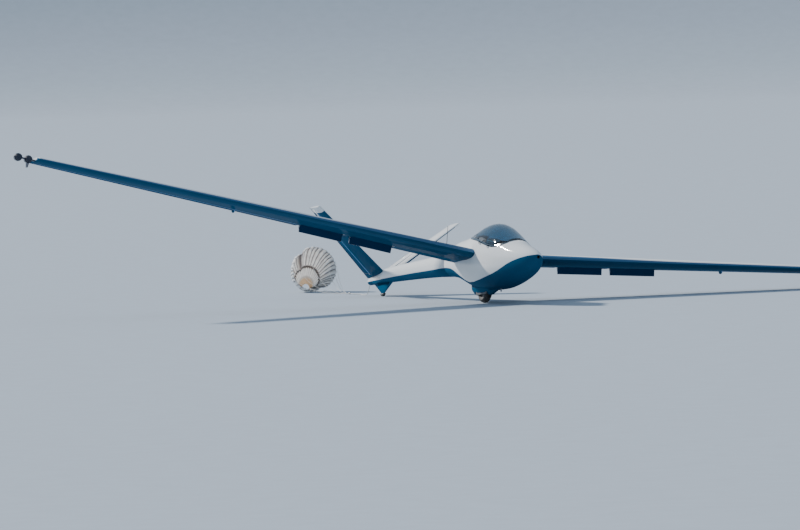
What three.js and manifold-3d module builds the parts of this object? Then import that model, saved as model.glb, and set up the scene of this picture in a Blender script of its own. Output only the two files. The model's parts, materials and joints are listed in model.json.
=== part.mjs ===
// Single-seat V-tail sailplane, parked on its main wheel, tail skid and left tip skid, with its
// drag parachute paid out on the floor behind it. Millimetres.
//
// Airframe frame: origin at the nose tip, +X to the left wing tip, +Y aft, +Z up, level.
// Floor frame: the airframe as it rests, origin under the middle of its box, floor at z = 0.
import * as THREE from "three";
import { mergeVertices } from "three/addons/utils/BufferGeometryUtils.js";
import Module from "manifold-3d";

const wasm = await Module();
wasm.setup();

const { lerp, degToRad } = THREE.MathUtils;
const vec = (x, y, z) => new THREE.Vector3(x, y, z);

// Gaps
const FIT = 0.3; // between pieces that touch
const CLEAR = 5; // round a moving panel, and along the canopy's seam

// Fuselage
const FUSELAGE = {
  sides: 26,
  wall: 10,
  podRings: 20,
  podEnd: 2750,
  boomRings: 6,
  boomEnd: 5420,
  end: 5600,
  hollowFrom: 70,
  lowerPower: 2.25,
  upperPower: 2.05,
  tailWall: 7,
};
// Fuselage and canopy sections: station aft of the nose, half width, keel, waist and crown heights.
const SECTIONS = [
  [0, 25, -44, -14, 16],
  [50, 78, -128, -26, 45],
  [150, 134, -180, -30, 90],
  [350, 196, -248, -24, 160],
  [600, 246, -298, -12, 245],
  [850, 280, -340, 0, 372],
  [1100, 302, -357, 8, 488],
  [1350, 300, -354, 16, 536],
  [1600, 288, -336, 26, 512],
  [1850, 266, -292, 42, 458],
  [2100, 236, -218, 62, 408],
  [2400, 196, -130, 84, 392],
  [2600, 174, -92, 94, 362],
  [2750, 158, -72, 100, 330],
  [3000, 146, -54, 103, 282],
  [3200, 138, -42, 104, 258],
  [4000, 121, -12, 110, 236],
  [5000, 101, 14, 112, 214],
  [5300, 80, 20, 98, 184],
  [5600, 50, 22, 70, 120],
];
const NOSE_VENT = { radius: 19, wall: 3, depth: 60, height: -14 };

// Canopy: the sill in side view, as station and height, from ahead of its front to behind its back.
const SILL = [
  [537, 420],
  [590, 300],
  [655, 205],
  [785, 165],
  [960, 160],
  [1180, 206],
  [1500, 286],
  [1880, 352],
  [2080, 400],
  [2150, 480],
];
const CANOPY = { rim: 28, frameThick: 12, glassThick: 5, sillSteps: 28, above: 900 };
const CANOPY_HINGES = {
  at: [
    [-287, 1050, 168],
    [-284, 1330, 236],
  ],
  barrel: 7,
  pin: 3.5,
  long: 20,
  armHigh: 29,
  armReach: 24,
};

// Wings: the span is measured along each wing from the centre line.
const WING = {
  span: 6560,
  rootChord: 870,
  tipChord: 390,
  leading: 1440,
  sweepBack: 20,
  height: 80,
  rise: 4.8,
  incidence: 3,
  thickness: 0.168,
  camber: 0.03,
  innerEnd: 100,
  rounding: 25,
};
const AIRBRAKE = {
  panels: { inner: [1215, 1846], outer: [1962, 2600] },
  behindPivot: 115,
  noseRadius: 104,
  openDegrees: 85,
  pin: 5,
};
const AILERON = { from: 2720, to: 6440, hinge: 0.78, pin: 5 };
const AILERON_HORN = { at: 3573, chordShare: 0.86, long: 110, wide: 30, deep: 40 };

// V tail: each half's span is measured along its slope from the fuselage's centre line.
const TAIL = {
  span: 1357,
  rootChord: 665,
  tipChord: 356,
  leading: 4988,
  sweepBack: 129,
  height: 95,
  rise: 39.7,
  incidence: 0,
  thickness: 0.1,
  camber: 0,
  innerEnd: 40,
  rounding: 25,
};
const RUDDERVATOR = { from: 128, to: 1325, hinge: 0.67, pin: 4 };
const PIN_REACH = 20; // how far a hinge pin stands in the panel it carries
const PIN_ROOT = 15; // how far it stands in what carries it

// Ventral fin, with the tail skid under it
const FIN = {
  span: 182,
  rootChord: 780,
  tipChord: 110,
  leading: 4750,
  sweepBack: 335,
  height: 60,
  rise: -90,
  incidence: 0,
  thickness: 0.08,
  camber: 0,
};
const TAIL_SKID = { from: 5080, to: 5200, deep: 38, wide: 34 };

// Main wheel and the box round it
const WHEEL = {
  station: 1660,
  height: -350,
  radius: 150,
  width: 100,
  rim: 76,
  axle: 10,
  boxRadius: 168,
  boxHalf: 56,
  boxWall: 4,
  boxBottom: -395,
};
// Wheel fairing sections: station, half width, bottom height.
const WHEEL_FAIRING = [
  [1190, 20, -345],
  [1290, 66, -376],
  [1430, 98, -405],
  [1600, 112, -416],
  [1780, 104, -410],
  [1950, 72, -380],
  [2090, 22, -310],
];
const FAIRING_TOP = -180;
const TOW_HOOK = {
  at: 1110,
  wide: 14,
  outline: [
    [0, -330],
    [50, -330],
    [50, -380],
    [34, -392],
    [12, -392],
    [12, -380],
    [26, -374],
    [26, -368],
    [0, -364],
  ],
};

// Wing tip fittings: places outboard of the wing's end, heights from the chord plane
const TIP = {
  chordShare: 0.45,
  armHigh: 20,
  armDeep: 34,
  canisters: { inner: 87, outer: 230 },
  canisterRadius: 44,
  canisterEnd: 30,
  canisterLong: 124,
  clampRadius: 52,
  clampLong: 40,
  skidThick: 10,
  skidTop: -46,
  skidBottom: -110,
  skidLong: 110,
  skidFlat: 50,
};

const ANTENNA = { station: 3070, long: 375, radius: 3 };

// Cockpit: the top line of the seat in side view, as station and height
const SEAT_LINE = [
  [870, -236],
  [1010, -278],
  [1090, -284],
  [1170, -248],
  [1330, -60],
  [1490, 125],
];
const SEAT = { half: 232, thick: 12, steps: 14 };
const HARNESS = {
  webThick: 3,
  webWide: 45,
  shoulderAt: 70,
  shoulders: [1060, 1480],
  lap: [1060, 1175],
  lapHalf: 205,
  buckle: 56,
  buckleThick: 16,
};
const SHELF = { from: 1505, to: 1870, top: 130, thick: 12, bulkheadTop: 318 };
const HEADREST = { from: 1515, to: 1575, half: 105, high: 175 };
const PANEL = { from: 770, to: 830, half: 150, foot: 140, bottom: -70, shoulder: 110, crown: 80 };
const POST = { from: 775, to: 825, half: 50 };
const STICK = { at: 940, lean: -0.1, top: -20, grip: 15, gripLong: 110, shaft: 9, boot: 34 };
const STICK_FLOOR = { bottom: -300, bootTop: -225 };
const PEDALS = { at: 350, height: -170, tube: 9, from: 45, to: 105, high: 110, lean: 18, thick: 12 };
const LEVER = { across: 250, from: 1000, to: 1200, height: -40, rod: 7, grip: 14, gripLong: 100 };
const LEVER_BRACKETS = { at: [1070, 1170], long: 16, high: 12 };

// Drag parachute: the anchor in the tail cone, then the riser's points. The inner ones are in the
// airframe frame. The others are measured from the last inner one, with heights above the floor.
const ANCHOR = { height: 80, plate: 22, plateThick: 6, rod: 12, end: 5465 };
const RISER = {
  radius: 5,
  sides: 10,
  steps: 38,
  inner: [
    [0, 5465.3, 80],
    [0, 5512, 77],
    [0, 5562, 62],
    [0, 5601, 41],
  ],
  floor: [
    [-2, 24, 140],
    [-5, 43, 112],
    [-9, 58, 76],
    [-13, 75, 40],
    [-18, 104, 14],
    [-22, 150, 5.6],
    [-24, 210, 5.4],
    [-16, 280, 5.4],
    [8, 350, 5.4],
    [36, 410, 5.4],
    [48, 470, 5.4],
    [36, 535, 5.4],
    [12, 595, 5.4],
    [-4, 640, 8],
    [-10, 676, 13.6],
    [-10, 712, 14.3],
  ],
};
const SWIVEL = { radius: 14, neck: 8, long: 44 };
const KNOT = { radius: 9, long: 18 };
const LINES = { count: 8, radius: 1.5, sides: 8, steps: 5, floor: 2 };
// How each line hangs: share of the way to the rim, and share of the rim's height.
const LINE_HANG = [
  [0.2, 0.01],
  [0.45, 0.1],
  [0.7, 0.35],
  [0.88, 0.7],
  [1, 1],
];
// Rings of the parachute's cloth, as distance behind its mouth and radius.
const CANOPY_RINGS = [
  [0, 350],
  [60, 345],
  [140, 320],
  [220, 270],
  [290, 190],
  [330, 110],
  [345, 60],
];
const DROGUE = { mouth: 2000, sides: 24, wall: 12, squash: 0.86, above: 1, vent: 46 };

const finish = (color, roughness, metalness = 0) =>
  new THREE.MeshStandardMaterial({ color, roughness, metalness });
const MATERIAL = {
  coat: finish(0xf1f1ee, 0.22),
  grey: finish(0xb9bcbd, 0.5),
  dark: finish(0x202226, 0.35),
  rubber: finish(0x17181a, 0.85),
  steel: finish(0x8d9094, 0.35, 0.9),
  cloth: finish(0x39414b, 0.95),
  webbing: finish(0x24406e, 0.9),
  nylon: finish(0xe9e2d6, 0.9),
  glass: new THREE.MeshStandardMaterial({
    color: 0x2d6f9a,
    roughness: 0.05,
    transparent: true,
    opacity: 0.4,
  }),
};

// Solids and geometry

// A closed geometry as a solid that can be cut and joined, turned face outwards.
function solid(geometry) {
  const bare = new THREE.BufferGeometry();
  bare.setAttribute("position", geometry.getAttribute("position"));
  if (geometry.index) bare.setIndex(geometry.index);
  const merged = mergeVertices(bare, 1e-3);
  const mesh = (triVerts) =>
    new wasm.Manifold(
      new wasm.Mesh({
        numProp: 3,
        vertProperties: merged.attributes.position.array,
        triVerts,
      }),
    );
  const corners = new Uint32Array(merged.index.array);
  const made = mesh(corners);
  if (made.volume() > 0) return made;
  return mesh(corners.map((_, i) => corners[i - (i % 3) + 2 - (i % 3)]));
}

function geometryOf(made) {
  const mesh = made.getMesh();
  const geometry = new THREE.BufferGeometry();
  geometry.setAttribute("position", new THREE.BufferAttribute(mesh.vertProperties, 3));
  geometry.setIndex(new THREE.BufferAttribute(mesh.triVerts, 1));
  return geometry;
}

const moved = (made, matrix) => made.transform(matrix.elements);
const joined = (pieces) => pieces.reduce((whole, piece) => whole.add(piece));

// A solid skinned over rings of points that run the same way round, each end closed by a fan.
function loft(rings) {
  const sides = rings[0].length;
  const middle = (ring) =>
    ring.reduce((sum, p) => sum.add(p), vec(0, 0, 0)).divideScalar(ring.length);
  const points = [...rings.flat(), middle(rings[0]), middle(rings.at(-1))];
  const index = [];
  for (let r = 0; r < rings.length - 1; r++)
    for (let i = 0; i < sides; i++) {
      const [a, b] = [r * sides + i, r * sides + ((i + 1) % sides)];
      index.push(a, b, b + sides, a, b + sides, a + sides);
    }
  const last = (rings.length - 1) * sides;
  for (let i = 0; i < sides; i++) {
    const next = (i + 1) % sides;
    index.push(points.length - 2, next, i);
    index.push(points.length - 1, last + i, last + next);
  }
  const geometry = new THREE.BufferGeometry().setFromPoints(points);
  geometry.setIndex(index);
  return solid(geometry);
}

// An outline pushed through a depth. Its two axes and the depth go along the basis given.
function extruded(outline, from, to, basis) {
  const shape = new THREE.Shape(outline.map(([a, b]) => new THREE.Vector2(a, b)));
  const geometry = new THREE.ExtrudeGeometry(shape, { depth: to - from, bevelEnabled: false });
  geometry.translate(0, 0, from);
  return solid(geometry.applyMatrix4(basis));
}

// A side-view outline, as station and height, pushed across between two widths.
const SIDE_VIEW = new THREE.Matrix4().makeBasis(vec(0, 1, 0), vec(0, 0, 1), vec(1, 0, 0));
const sideExtrude = (outline, left, right) => extruded(outline, left, right, SIDE_VIEW);

// A front-view outline, as width and height, pushed aft between two stations.
const FRONT_VIEW = new THREE.Matrix4().makeBasis(vec(1, 0, 0), vec(0, 0, 1), vec(0, 1, 0));
const frontExtrude = (outline, from, to) => extruded(outline, from, to, FRONT_VIEW);

// A rod between two points, with a radius at each end.
function rod(from, to, radius, endRadius = radius, sides = 14) {
  const along = to.clone().sub(from);
  const geometry = new THREE.CylinderGeometry(endRadius, radius, along.length(), sides);
  const turn = new THREE.Quaternion().setFromUnitVectors(vec(0, 1, 0), along.clone().normalize());
  geometry.applyQuaternion(turn);
  const centre = from.clone().add(to).multiplyScalar(0.5);
  geometry.translate(centre.x, centre.y, centre.z);
  return solid(geometry);
}

function box(low, high) {
  const size = high.map((value, i) => value - low[i]);
  const geometry = new THREE.BoxGeometry(...size);
  geometry.translate(...low.map((value, i) => value + size[i] / 2));
  return solid(geometry);
}

// A round cord along a smooth line through points.
function tube(points, radius, steps, sides) {
  const circle = Array.from({ length: sides }, (_, i) => {
    const angle = (2 * Math.PI * i) / sides;
    return new THREE.Vector2(radius * Math.cos(angle), radius * Math.sin(angle));
  });
  const extrudePath = new THREE.CatmullRomCurve3(points);
  const options = { steps, extrudePath, bevelEnabled: false };
  return solid(new THREE.ExtrudeGeometry(new THREE.Shape(circle), options));
}

// A profile, as radius and place along, turned about +Y at the origin.
function turned(profile, sides) {
  const points = profile.map(([radius, along]) => new THREE.Vector2(radius, along));
  return new THREE.LatheGeometry(points, sides);
}

// A side-view line moved along its own normal, upwards for a positive distance.
function offsetLine(line, distance) {
  return line.map(([y, z], i) => {
    const [before, after] = [line[Math.max(i - 1, 0)], line[Math.min(i + 1, line.length - 1)]];
    const along = new THREE.Vector2(after[0] - before[0], after[1] - before[1]).normalize();
    return [y - along.y * distance, z + along.x * distance];
  });
}

// The outline between two offsets of a side-view line.
const band = (line, low, high) => [...offsetLine(line, low), ...offsetLine(line, high).reverse()];

function smoothLine(points, steps) {
  const curve = new THREE.SplineCurve(points.map(([y, z]) => new THREE.Vector2(y, z)));
  return curve.getSpacedPoints(steps).map((point) => [point.x, point.y]);
}

// Fuselage

const section = new THREE.CubicInterpolant(
  SECTIONS.map(([station]) => station),
  SECTIONS.flatMap(([, ...sizes]) => sizes),
  4,
);

function fuselageRing(station, grow = 0) {
  const [half, keel, waist, crown] = section.evaluate(station);
  return Array.from({ length: FUSELAGE.sides }, (_, i) => {
    const angle = (2 * Math.PI * i) / FUSELAGE.sides;
    const [across, up] = [Math.cos(angle), Math.sin(angle)];
    const power = 2 / (up > 0 ? FUSELAGE.upperPower : FUSELAGE.lowerPower);
    const reach = (up > 0 ? crown - waist : waist - keel) + grow;
    return vec(
      (half + grow) * Math.sign(across) * Math.abs(across) ** power,
      station,
      waist + reach * Math.sign(up) * Math.abs(up) ** power,
    );
  });
}

// Stations that close up towards the nose, then even ones along the boom.
const podStation = (i) => FUSELAGE.podEnd * (i / FUSELAGE.podRings) ** 1.5;
const POD_STATIONS = Array.from({ length: FUSELAGE.podRings + 1 }, (_, i) => podStation(i));
const BOOM_STATIONS = Array.from({ length: FUSELAGE.boomRings }, (_, i) =>
  lerp(FUSELAGE.podEnd, FUSELAGE.boomEnd, (i + 1) / FUSELAGE.boomRings),
);
const STATIONS = [...POD_STATIONS, ...BOOM_STATIONS, FUSELAGE.end];

// The whole fuselage and canopy form between two stations, grown or shrunk by a distance.
function fuselageForm(from, to, grow = 0) {
  const inside = STATIONS.filter((station) => station > from + 1 && station < to - 1);
  return loft([from, ...inside, to].map((station) => fuselageRing(station, grow)));
}

// The space above the sill line moved along its own normal.
function aboveSill(offset, halfWidth = 500) {
  const line = offsetLine(smoothLine(SILL, CANOPY.sillSteps), offset);
  const [front, back] = [line[0][0], line.at(-1)[0]];
  return sideExtrude([...line, [back, CANOPY.above], [front, CANOPY.above]], -halfWidth, halfWidth);
}

// Wings and tail

// A tapered panel: points by distance along the span, share of the chord and height.
class Panel {
  constructor(sizes, side) {
    Object.assign(this, sizes);
    this.side = side;
    this.slope = degToRad(sizes.rise);
    this.pitch = degToRad(sizes.incidence);
  }

  chord(span) {
    return lerp(this.rootChord, this.tipChord, span / this.span);
  }

  // Heights of the upper and lower surface at a share of the chord, as shares of the chord.
  surfaces(share) {
    const root = 0.2969 * Math.sqrt(share) - 0.126 * share;
    const rest = -0.3516 * share ** 2 + 0.2843 * share ** 3 - 0.1016 * share ** 4;
    const half = 5 * this.thickness * (root + rest) + 0.002 * share;
    const middle = 4 * this.camber * share * (1 - share);
    return { lower: middle - half, middle, half };
  }

  at(span, share, height = 0) {
    const chord = this.chord(span);
    const back = (share - 0.25) * chord;
    const lift = height * chord * Math.cos(this.pitch) - back * Math.sin(this.pitch);
    const quarter = this.leading + (this.sweepBack * span) / this.span + 0.25 * chord;
    return vec(
      this.side * (span * Math.cos(this.slope) - lift * Math.sin(this.slope)),
      quarter + back * Math.cos(this.pitch) + height * chord * Math.sin(this.pitch),
      this.height + span * Math.sin(this.slope) + lift * Math.cos(this.slope),
    );
  }

  up() {
    return vec(-this.side * Math.sin(this.slope), 0, Math.cos(this.slope));
  }

  outward() {
    return vec(this.side * Math.cos(this.slope), 0, Math.sin(this.slope));
  }

  ring(span, thin = 1, steps = 10) {
    const share = (i) => (1 + Math.cos((Math.PI * i) / steps)) / 2;
    const shares = Array.from({ length: steps + 1 }, (_, i) => share(i));
    const place = (at, which) => {
      const { middle, half } = this.surfaces(at);
      return this.at(span, at, middle + which * half * thin);
    };
    const over = shares.map((at) => place(at, 1));
    const under = shares.slice(0, -1).reverse().map((at) => place(at, -1));
    return [...over, ...under];
  }

  // The whole panel, its end rounded off: each step's distance as a share, and its thickness.
  body() {
    const steps = [[1, 1], [0.35, 0.86], [0.1, 0.6], [0, 0.3]];
    const tip = steps.map(([back, thin]) => this.ring(this.span - back * this.rounding, thin));
    return loft([this.ring(this.innerEnd), ...tip]);
  }
}

// A moving trailing-edge panel on a hinge line given as two places on the panel that carries it.
class HingedPanel {
  constructor(carrier, from, to, shareAt, radiusAt, pin) {
    const place = (span) => {
      const share = shareAt(span);
      return carrier.at(span, share, carrier.surfaces(share).middle);
    };
    const spans = carrier.side > 0 ? [from, to] : [to, from];
    const [start, end] = spans.map(place);
    this.radii = spans.map(radiusAt);
    this.length = start.distanceTo(end);
    this.pin = pin;
    const along = end.clone().sub(start).normalize();
    const back = carrier.up().cross(along).normalize();
    const up = along.clone().cross(back);
    this.frame = new THREE.Matrix4().makeBasis(along, back, up).setPosition(start);
  }

  // The space behind the hinge line with its round nose, grown on every side but behind.
  space(grow) {
    const [from, to] = [-grow, this.length + grow];
    const radii = this.radii.map((radius) => radius + grow);
    const nose = rod(vec(from, 0, 0), vec(to, 0, 0), radii[0], radii[1], 28);
    const behind = box([from, 0, -400], [to, 400, 400]);
    return moved(nose.add(behind), this.frame);
  }

  pins(grow) {
    const [root, reach] = grow ? [CLEAR / 2, PIN_REACH + grow] : [CLEAR + PIN_ROOT, PIN_REACH];
    const pin = (from, to) => rod(vec(from, 0, 0), vec(to, 0, 0), this.pin + grow, undefined, 10);
    const both = pin(-root, reach).add(pin(this.length - reach, this.length + root));
    return moved(both, this.frame);
  }

  cutFrom(body) {
    return body.subtract(this.space(CLEAR)).add(this.pins(0));
  }

  takenFrom(body) {
    return body.intersect(this.space(0)).subtract(this.pins(FIT));
  }
}

// Scene

const airframe = new THREE.Group();
airframe.name = "airframe";

function place(name, made, material, group = airframe) {
  const mesh = new THREE.Mesh(geometryOf(made), material);
  mesh.name = name;
  group.add(mesh);
  return mesh;
}

// A group on a hinge line, whose own X axis is the hinge.
function hinge(name, frame) {
  const group = new THREE.Group();
  group.name = name;
  group.applyMatrix4(frame);
  airframe.add(group);
  return group;
}

function placeHinged(name, made, material, group, degrees = 0) {
  group.updateMatrix();
  const local = moved(made, group.matrix.clone().invert());
  const mesh = place(name, local, material, group);
  mesh.rotation.x = degToRad(degrees);
  return mesh;
}

const outer = fuselageForm(0, FUSELAGE.end);
const clearOfFuselage = fuselageForm(0, FUSELAGE.end, FIT);
const inner = fuselageForm(FUSELAGE.hollowFrom, FUSELAGE.podEnd + 50, -FUSELAGE.wall);
const cabin = fuselageForm(FUSELAGE.hollowFrom + FIT, FUSELAGE.podEnd, -FUSELAGE.wall - FIT);

// The side-view outline of the wheel box, and its half width.
function wheelBox(grow, deeper = 0) {
  const radius = WHEEL.boxRadius + grow;
  const steps = 12;
  const arc = Array.from({ length: steps + 1 }, (_, i) => {
    const angle = (Math.PI * i) / steps;
    return [WHEEL.station + radius * Math.cos(angle), WHEEL.height + radius * Math.sin(angle)];
  });
  const bottom = WHEEL.boxBottom - deeper;
  const outline = [...arc, [WHEEL.station - radius, bottom], [WHEEL.station + radius, bottom]];
  const half = WHEEL.boxHalf + grow;
  return sideExtrude(outline, -half, half);
}

// The canopy's two hinges: the pod's barrels and pins, the room cut for the canopy's barrels, and
// those barrels with their arms.
function canopyHinges() {
  const points = CANOPY_HINGES.at.map((p) => vec(...p));
  const along = points[1].clone().sub(points[0]).normalize();
  const { barrel, pin, long, armHigh, armReach } = CANOPY_HINGES;
  const parts = points.map((point) => {
    const stretch = (from, to, radius) => {
      const [start, end] = [from, to].map((d) => point.clone().addScaledVector(along, d));
      return rod(start, end, radius);
    };
    const { x, y, z } = point;
    const arm = box([x - 4, y + 2, z], [x + 4, y + long - 2, z + armHigh]);
    const reach = box([x - 4, y + 2, z + armHigh - 9], [x + armReach, y + long - 2, z + armHigh]);
    const foot = box([x, y - long + 2, z - barrel], [x + 12, y - 2, z + 4]);
    return {
      pod: joined([stretch(-long, 0, barrel), stretch(-long, long, pin), foot]),
      room: stretch(-FIT, long + FIT, barrel + FIT),
      canopy: joined([stretch(FIT, long, barrel), arm, reach]).subtract(stretch(-1, long + 1, pin + FIT)),
    };
  });
  const both = (key) => parts[0][key].add(parts[1][key]);
  return { along, at: points[0], pod: both("pod"), room: both("room"), canopy: both("canopy") };
}

function buildFuselage() {
  const vent = rod(
    vec(0, -50, NOSE_VENT.height),
    vec(0, NOSE_VENT.depth + 60, NOSE_VENT.height),
    NOSE_VENT.radius + NOSE_VENT.wall + FIT,
  );
  const pod = fuselageForm(0, FUSELAGE.podEnd).subtract(inner).subtract(aboveSill(0));
  const hinges = canopyHinges();
  const open = pod.subtract(wheelBox(WHEEL.boxWall + FIT)).subtract(vent);
  place("fuselage_pod", open.subtract(hinges.room).add(hinges.pod), MATERIAL.coat);
  place("tail_boom", fuselageForm(FUSELAGE.podEnd + FIT, FUSELAGE.boomEnd), MATERIAL.coat);

  const ventTube = rod(
    vec(0, 1, NOSE_VENT.height),
    vec(0, NOSE_VENT.depth, NOSE_VENT.height),
    NOSE_VENT.radius + NOSE_VENT.wall,
  );
  const ventHole = rod(
    vec(0, -5, NOSE_VENT.height),
    vec(0, NOSE_VENT.depth + 5, NOSE_VENT.height),
    NOSE_VENT.radius,
  );
  place("nose_vent", ventTube.subtract(ventHole), MATERIAL.dark);

  const tailCone = fuselageForm(FUSELAGE.boomEnd + FIT, FUSELAGE.end);
  const hollow = fuselageForm(FUSELAGE.boomEnd - 10, FUSELAGE.end + 40, -FUSELAGE.tailWall);
  place("drogue_container", tailCone.subtract(hollow), MATERIAL.coat);

  const onAnchor = (station) => vec(0, station, ANCHOR.height);
  const [plateFrom, rodFrom] = [FUSELAGE.boomEnd + FIT, FUSELAGE.boomEnd + ANCHOR.plateThick];
  const plate = rod(onAnchor(plateFrom), onAnchor(rodFrom), ANCHOR.plate);
  const lug = rod(onAnchor(rodFrom - 1), onAnchor(ANCHOR.end), ANCHOR.rod);
  place("drogue_anchor", plate.add(lug), MATERIAL.steel);

  const foot = section.evaluate(ANTENNA.station)[3] - 8;
  const antenna = rod(
    vec(0, ANTENNA.station, foot),
    vec(0, ANTENNA.station + 12, foot + ANTENNA.long),
    ANTENNA.radius * 1.6,
    ANTENNA.radius,
    10,
  );
  place("whip_antenna", antenna.subtract(clearOfFuselage), MATERIAL.dark);
}

function buildCanopy() {
  const skin = (thick) => outer.subtract(fuselageForm(0, FUSELAGE.end, -thick));
  const opening = aboveSill(CLEAR);
  const pane = aboveSill(CLEAR + CANOPY.rim);
  const frame = skin(CANOPY.frameThick).intersect(opening).subtract(pane);
  const glass = skin(CANOPY.glassThick).intersect(aboveSill(CLEAR + CANOPY.rim + FIT));

  const { along, at, canopy: arms } = canopyHinges();
  const across = vec(1, 0, 0).projectOnPlane(along).normalize();
  const axes = new THREE.Matrix4().makeBasis(along, along.clone().cross(across).negate(), across);
  const group = hinge("hinge_canopy", axes.setPosition(at));
  placeHinged("canopy_frame", frame.add(arms), MATERIAL.grey, group);
  placeHinged("canopy_glass", glass, MATERIAL.glass, group);
}

function buildCockpit() {
  const seatLine = smoothLine(SEAT_LINE, SEAT.steps);
  const stretch = (from, to) => seatLine.filter(([y]) => y > from && y < to);
  const pan = sideExtrude(band(seatLine, -SEAT.thick, 0), -SEAT.half, SEAT.half);
  place("seat_pan", pan.intersect(cabin), MATERIAL.grey);

  const { webThick, webWide, shoulderAt, lapHalf, buckle, buckleThick } = HARNESS;
  const web = (ends, thick) => band(stretch(...ends), FIT, FIT + thick);
  const shoulders = [-shoulderAt, shoulderAt].map((middle) =>
    sideExtrude(web(HARNESS.shoulders, webThick), middle - webWide / 2, middle + webWide / 2),
  );
  const lap = sideExtrude(web(HARNESS.lap, webThick), -lapHalf, lapHalf);
  const plate = sideExtrude(web(HARNESS.lap, buckleThick), -buckle / 2, buckle / 2);
  place("harness", joined([...shoulders, lap, plate]).intersect(cabin), MATERIAL.webbing);

  const shelf = box([-400, SHELF.from, SHELF.top - SHELF.thick], [400, SHELF.to, SHELF.top]);
  const bulkhead = box([-400, SHELF.to - SHELF.thick, -400], [400, SHELF.to, SHELF.bulkheadTop]);
  place("baggage_shelf", shelf.add(bulkhead).intersect(cabin), MATERIAL.grey);
  const restTop = SHELF.top + HEADREST.high;
  const rest = [
    [HEADREST.from, SHELF.top + FIT],
    [HEADREST.to, SHELF.top + FIT],
    [HEADREST.to + 20, restTop - 20],
    [HEADREST.to + 8, restTop],
    [HEADREST.from + 22, restTop],
    [HEADREST.from + 6, restTop - 20],
  ];
  place("headrest", sideExtrude(rest, -HEADREST.half, HEADREST.half), MATERIAL.cloth);

  const crown = Array.from({ length: 9 }, (_, i) => {
    const angle = (Math.PI * i) / 8;
    return [PANEL.half * Math.cos(angle), PANEL.shoulder + PANEL.crown * Math.sin(angle)];
  });
  const face = [[-PANEL.foot, PANEL.bottom], [PANEL.foot, PANEL.bottom], ...crown];
  const post = box([-POST.half, POST.from, -400], [POST.half, POST.to, PANEL.bottom + 5]);
  const panel = frontExtrude(face, PANEL.from, PANEL.to).add(post);
  place("instrument_panel", panel.intersect(cabin), MATERIAL.dark);

  const height = (z) => vec(0, STICK.at + (z - STICK.top) * STICK.lean, z);
  const gripFoot = STICK.top - STICK.gripLong;
  const stick = joined([
    rod(height(STICK_FLOOR.bottom), height(gripFoot + 10), STICK.shaft),
    rod(height(gripFoot), height(STICK.top), STICK.grip, STICK.grip - 2),
    rod(height(STICK_FLOOR.bottom), height(STICK_FLOOR.bootTop), STICK.boot, STICK.shaft),
  ]);
  const under = [...offsetLine(seatLine, FIT), [seatLine.at(-1)[0], -600], [seatLine[0][0], -600]];
  place("control_stick", stick.subtract(sideExtrude(under, -300, 300)), MATERIAL.dark);

  const { at, height: level, from, to, high, lean, thick } = PEDALS;
  const pedalOutline = [
    [at - thick, level],
    [at, level],
    [at + lean, level + high],
    [at + lean - thick, level + high],
  ];
  const pedals = joined([
    rod(vec(-300, at, level), vec(300, at, level), PEDALS.tube),
    sideExtrude(pedalOutline, -to, -from),
    sideExtrude(pedalOutline, from, to),
  ]);
  place("rudder_pedals", pedals.intersect(cabin), MATERIAL.steel);

  const onLever = (station) => vec(LEVER.across, station, LEVER.height);
  const brackets = LEVER_BRACKETS.at.map((station) => {
    const [low, high] = [LEVER.height - LEVER_BRACKETS.high / 2, LEVER.height + LEVER_BRACKETS.high / 2];
    return box([LEVER.across, station, low], [400, station + LEVER_BRACKETS.long, high]);
  });
  const lever = joined([
    rod(onLever(LEVER.from), onLever(LEVER.to), LEVER.rod),
    rod(onLever(LEVER.from + 5 - LEVER.gripLong), onLever(LEVER.from + 5), LEVER.grip),
    ...brackets,
  ]);
  place("airbrake_lever", lever.intersect(cabin), MATERIAL.steel);
}

// The wing tip's bracket with its skid, and the two canisters it clamps.
function buildTip(wing, name) {
  const frame = new THREE.Matrix4()
    .makeBasis(wing.outward(), vec(0, 1, 0), wing.up())
    .setPosition(wing.at(wing.span, TIP.chordShare));
  const { inner: near, outer: far } = TIP.canisters;
  const canister = (out, grow = 0) => {
    const half = TIP.canisterLong / 2 + grow;
    const [end, side] = [TIP.canisterEnd + grow, TIP.canisterRadius + grow];
    const shoulder = half - (side - end);
    const back = [[side, shoulder], [end, half], [0, half]];
    const front = back.map(([radius, along]) => [radius, -along]).reverse();
    return solid(turned([...front, ...back], 16).translate(out, 0, 0));
  };
  const clamp = (out) => {
    const [front, back] = [vec(out, -TIP.clampLong / 2, 0), vec(out, TIP.clampLong / 2, 0)];
    return rod(front, back, TIP.clampRadius, undefined, 20);
  };
  const arm = box([FIT, -TIP.armDeep / 2, -TIP.armHigh / 2], [far, TIP.armDeep / 2, TIP.armHigh / 2]);
  const { skidLong, skidFlat, skidTop, skidBottom, skidThick } = TIP;
  const blade = [
    [-skidLong / 2, skidTop],
    [skidLong / 2, skidTop],
    [skidFlat / 2, skidBottom],
    [-skidFlat / 2, skidBottom],
  ];
  const skid = sideExtrude(blade, near - skidThick / 2, near + skidThick / 2);
  const bracket = joined([arm, clamp(near), clamp(far), skid])
    .subtract(canister(near, FIT))
    .subtract(canister(far, FIT));
  for (const [where, out] of Object.entries(TIP.canisters))
    place(`smoke_canister_${name}_${where}`, moved(canister(out), frame), MATERIAL.dark);
  return place(`tip_bracket_${name}`, moved(bracket, frame), MATERIAL.dark);
}

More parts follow.
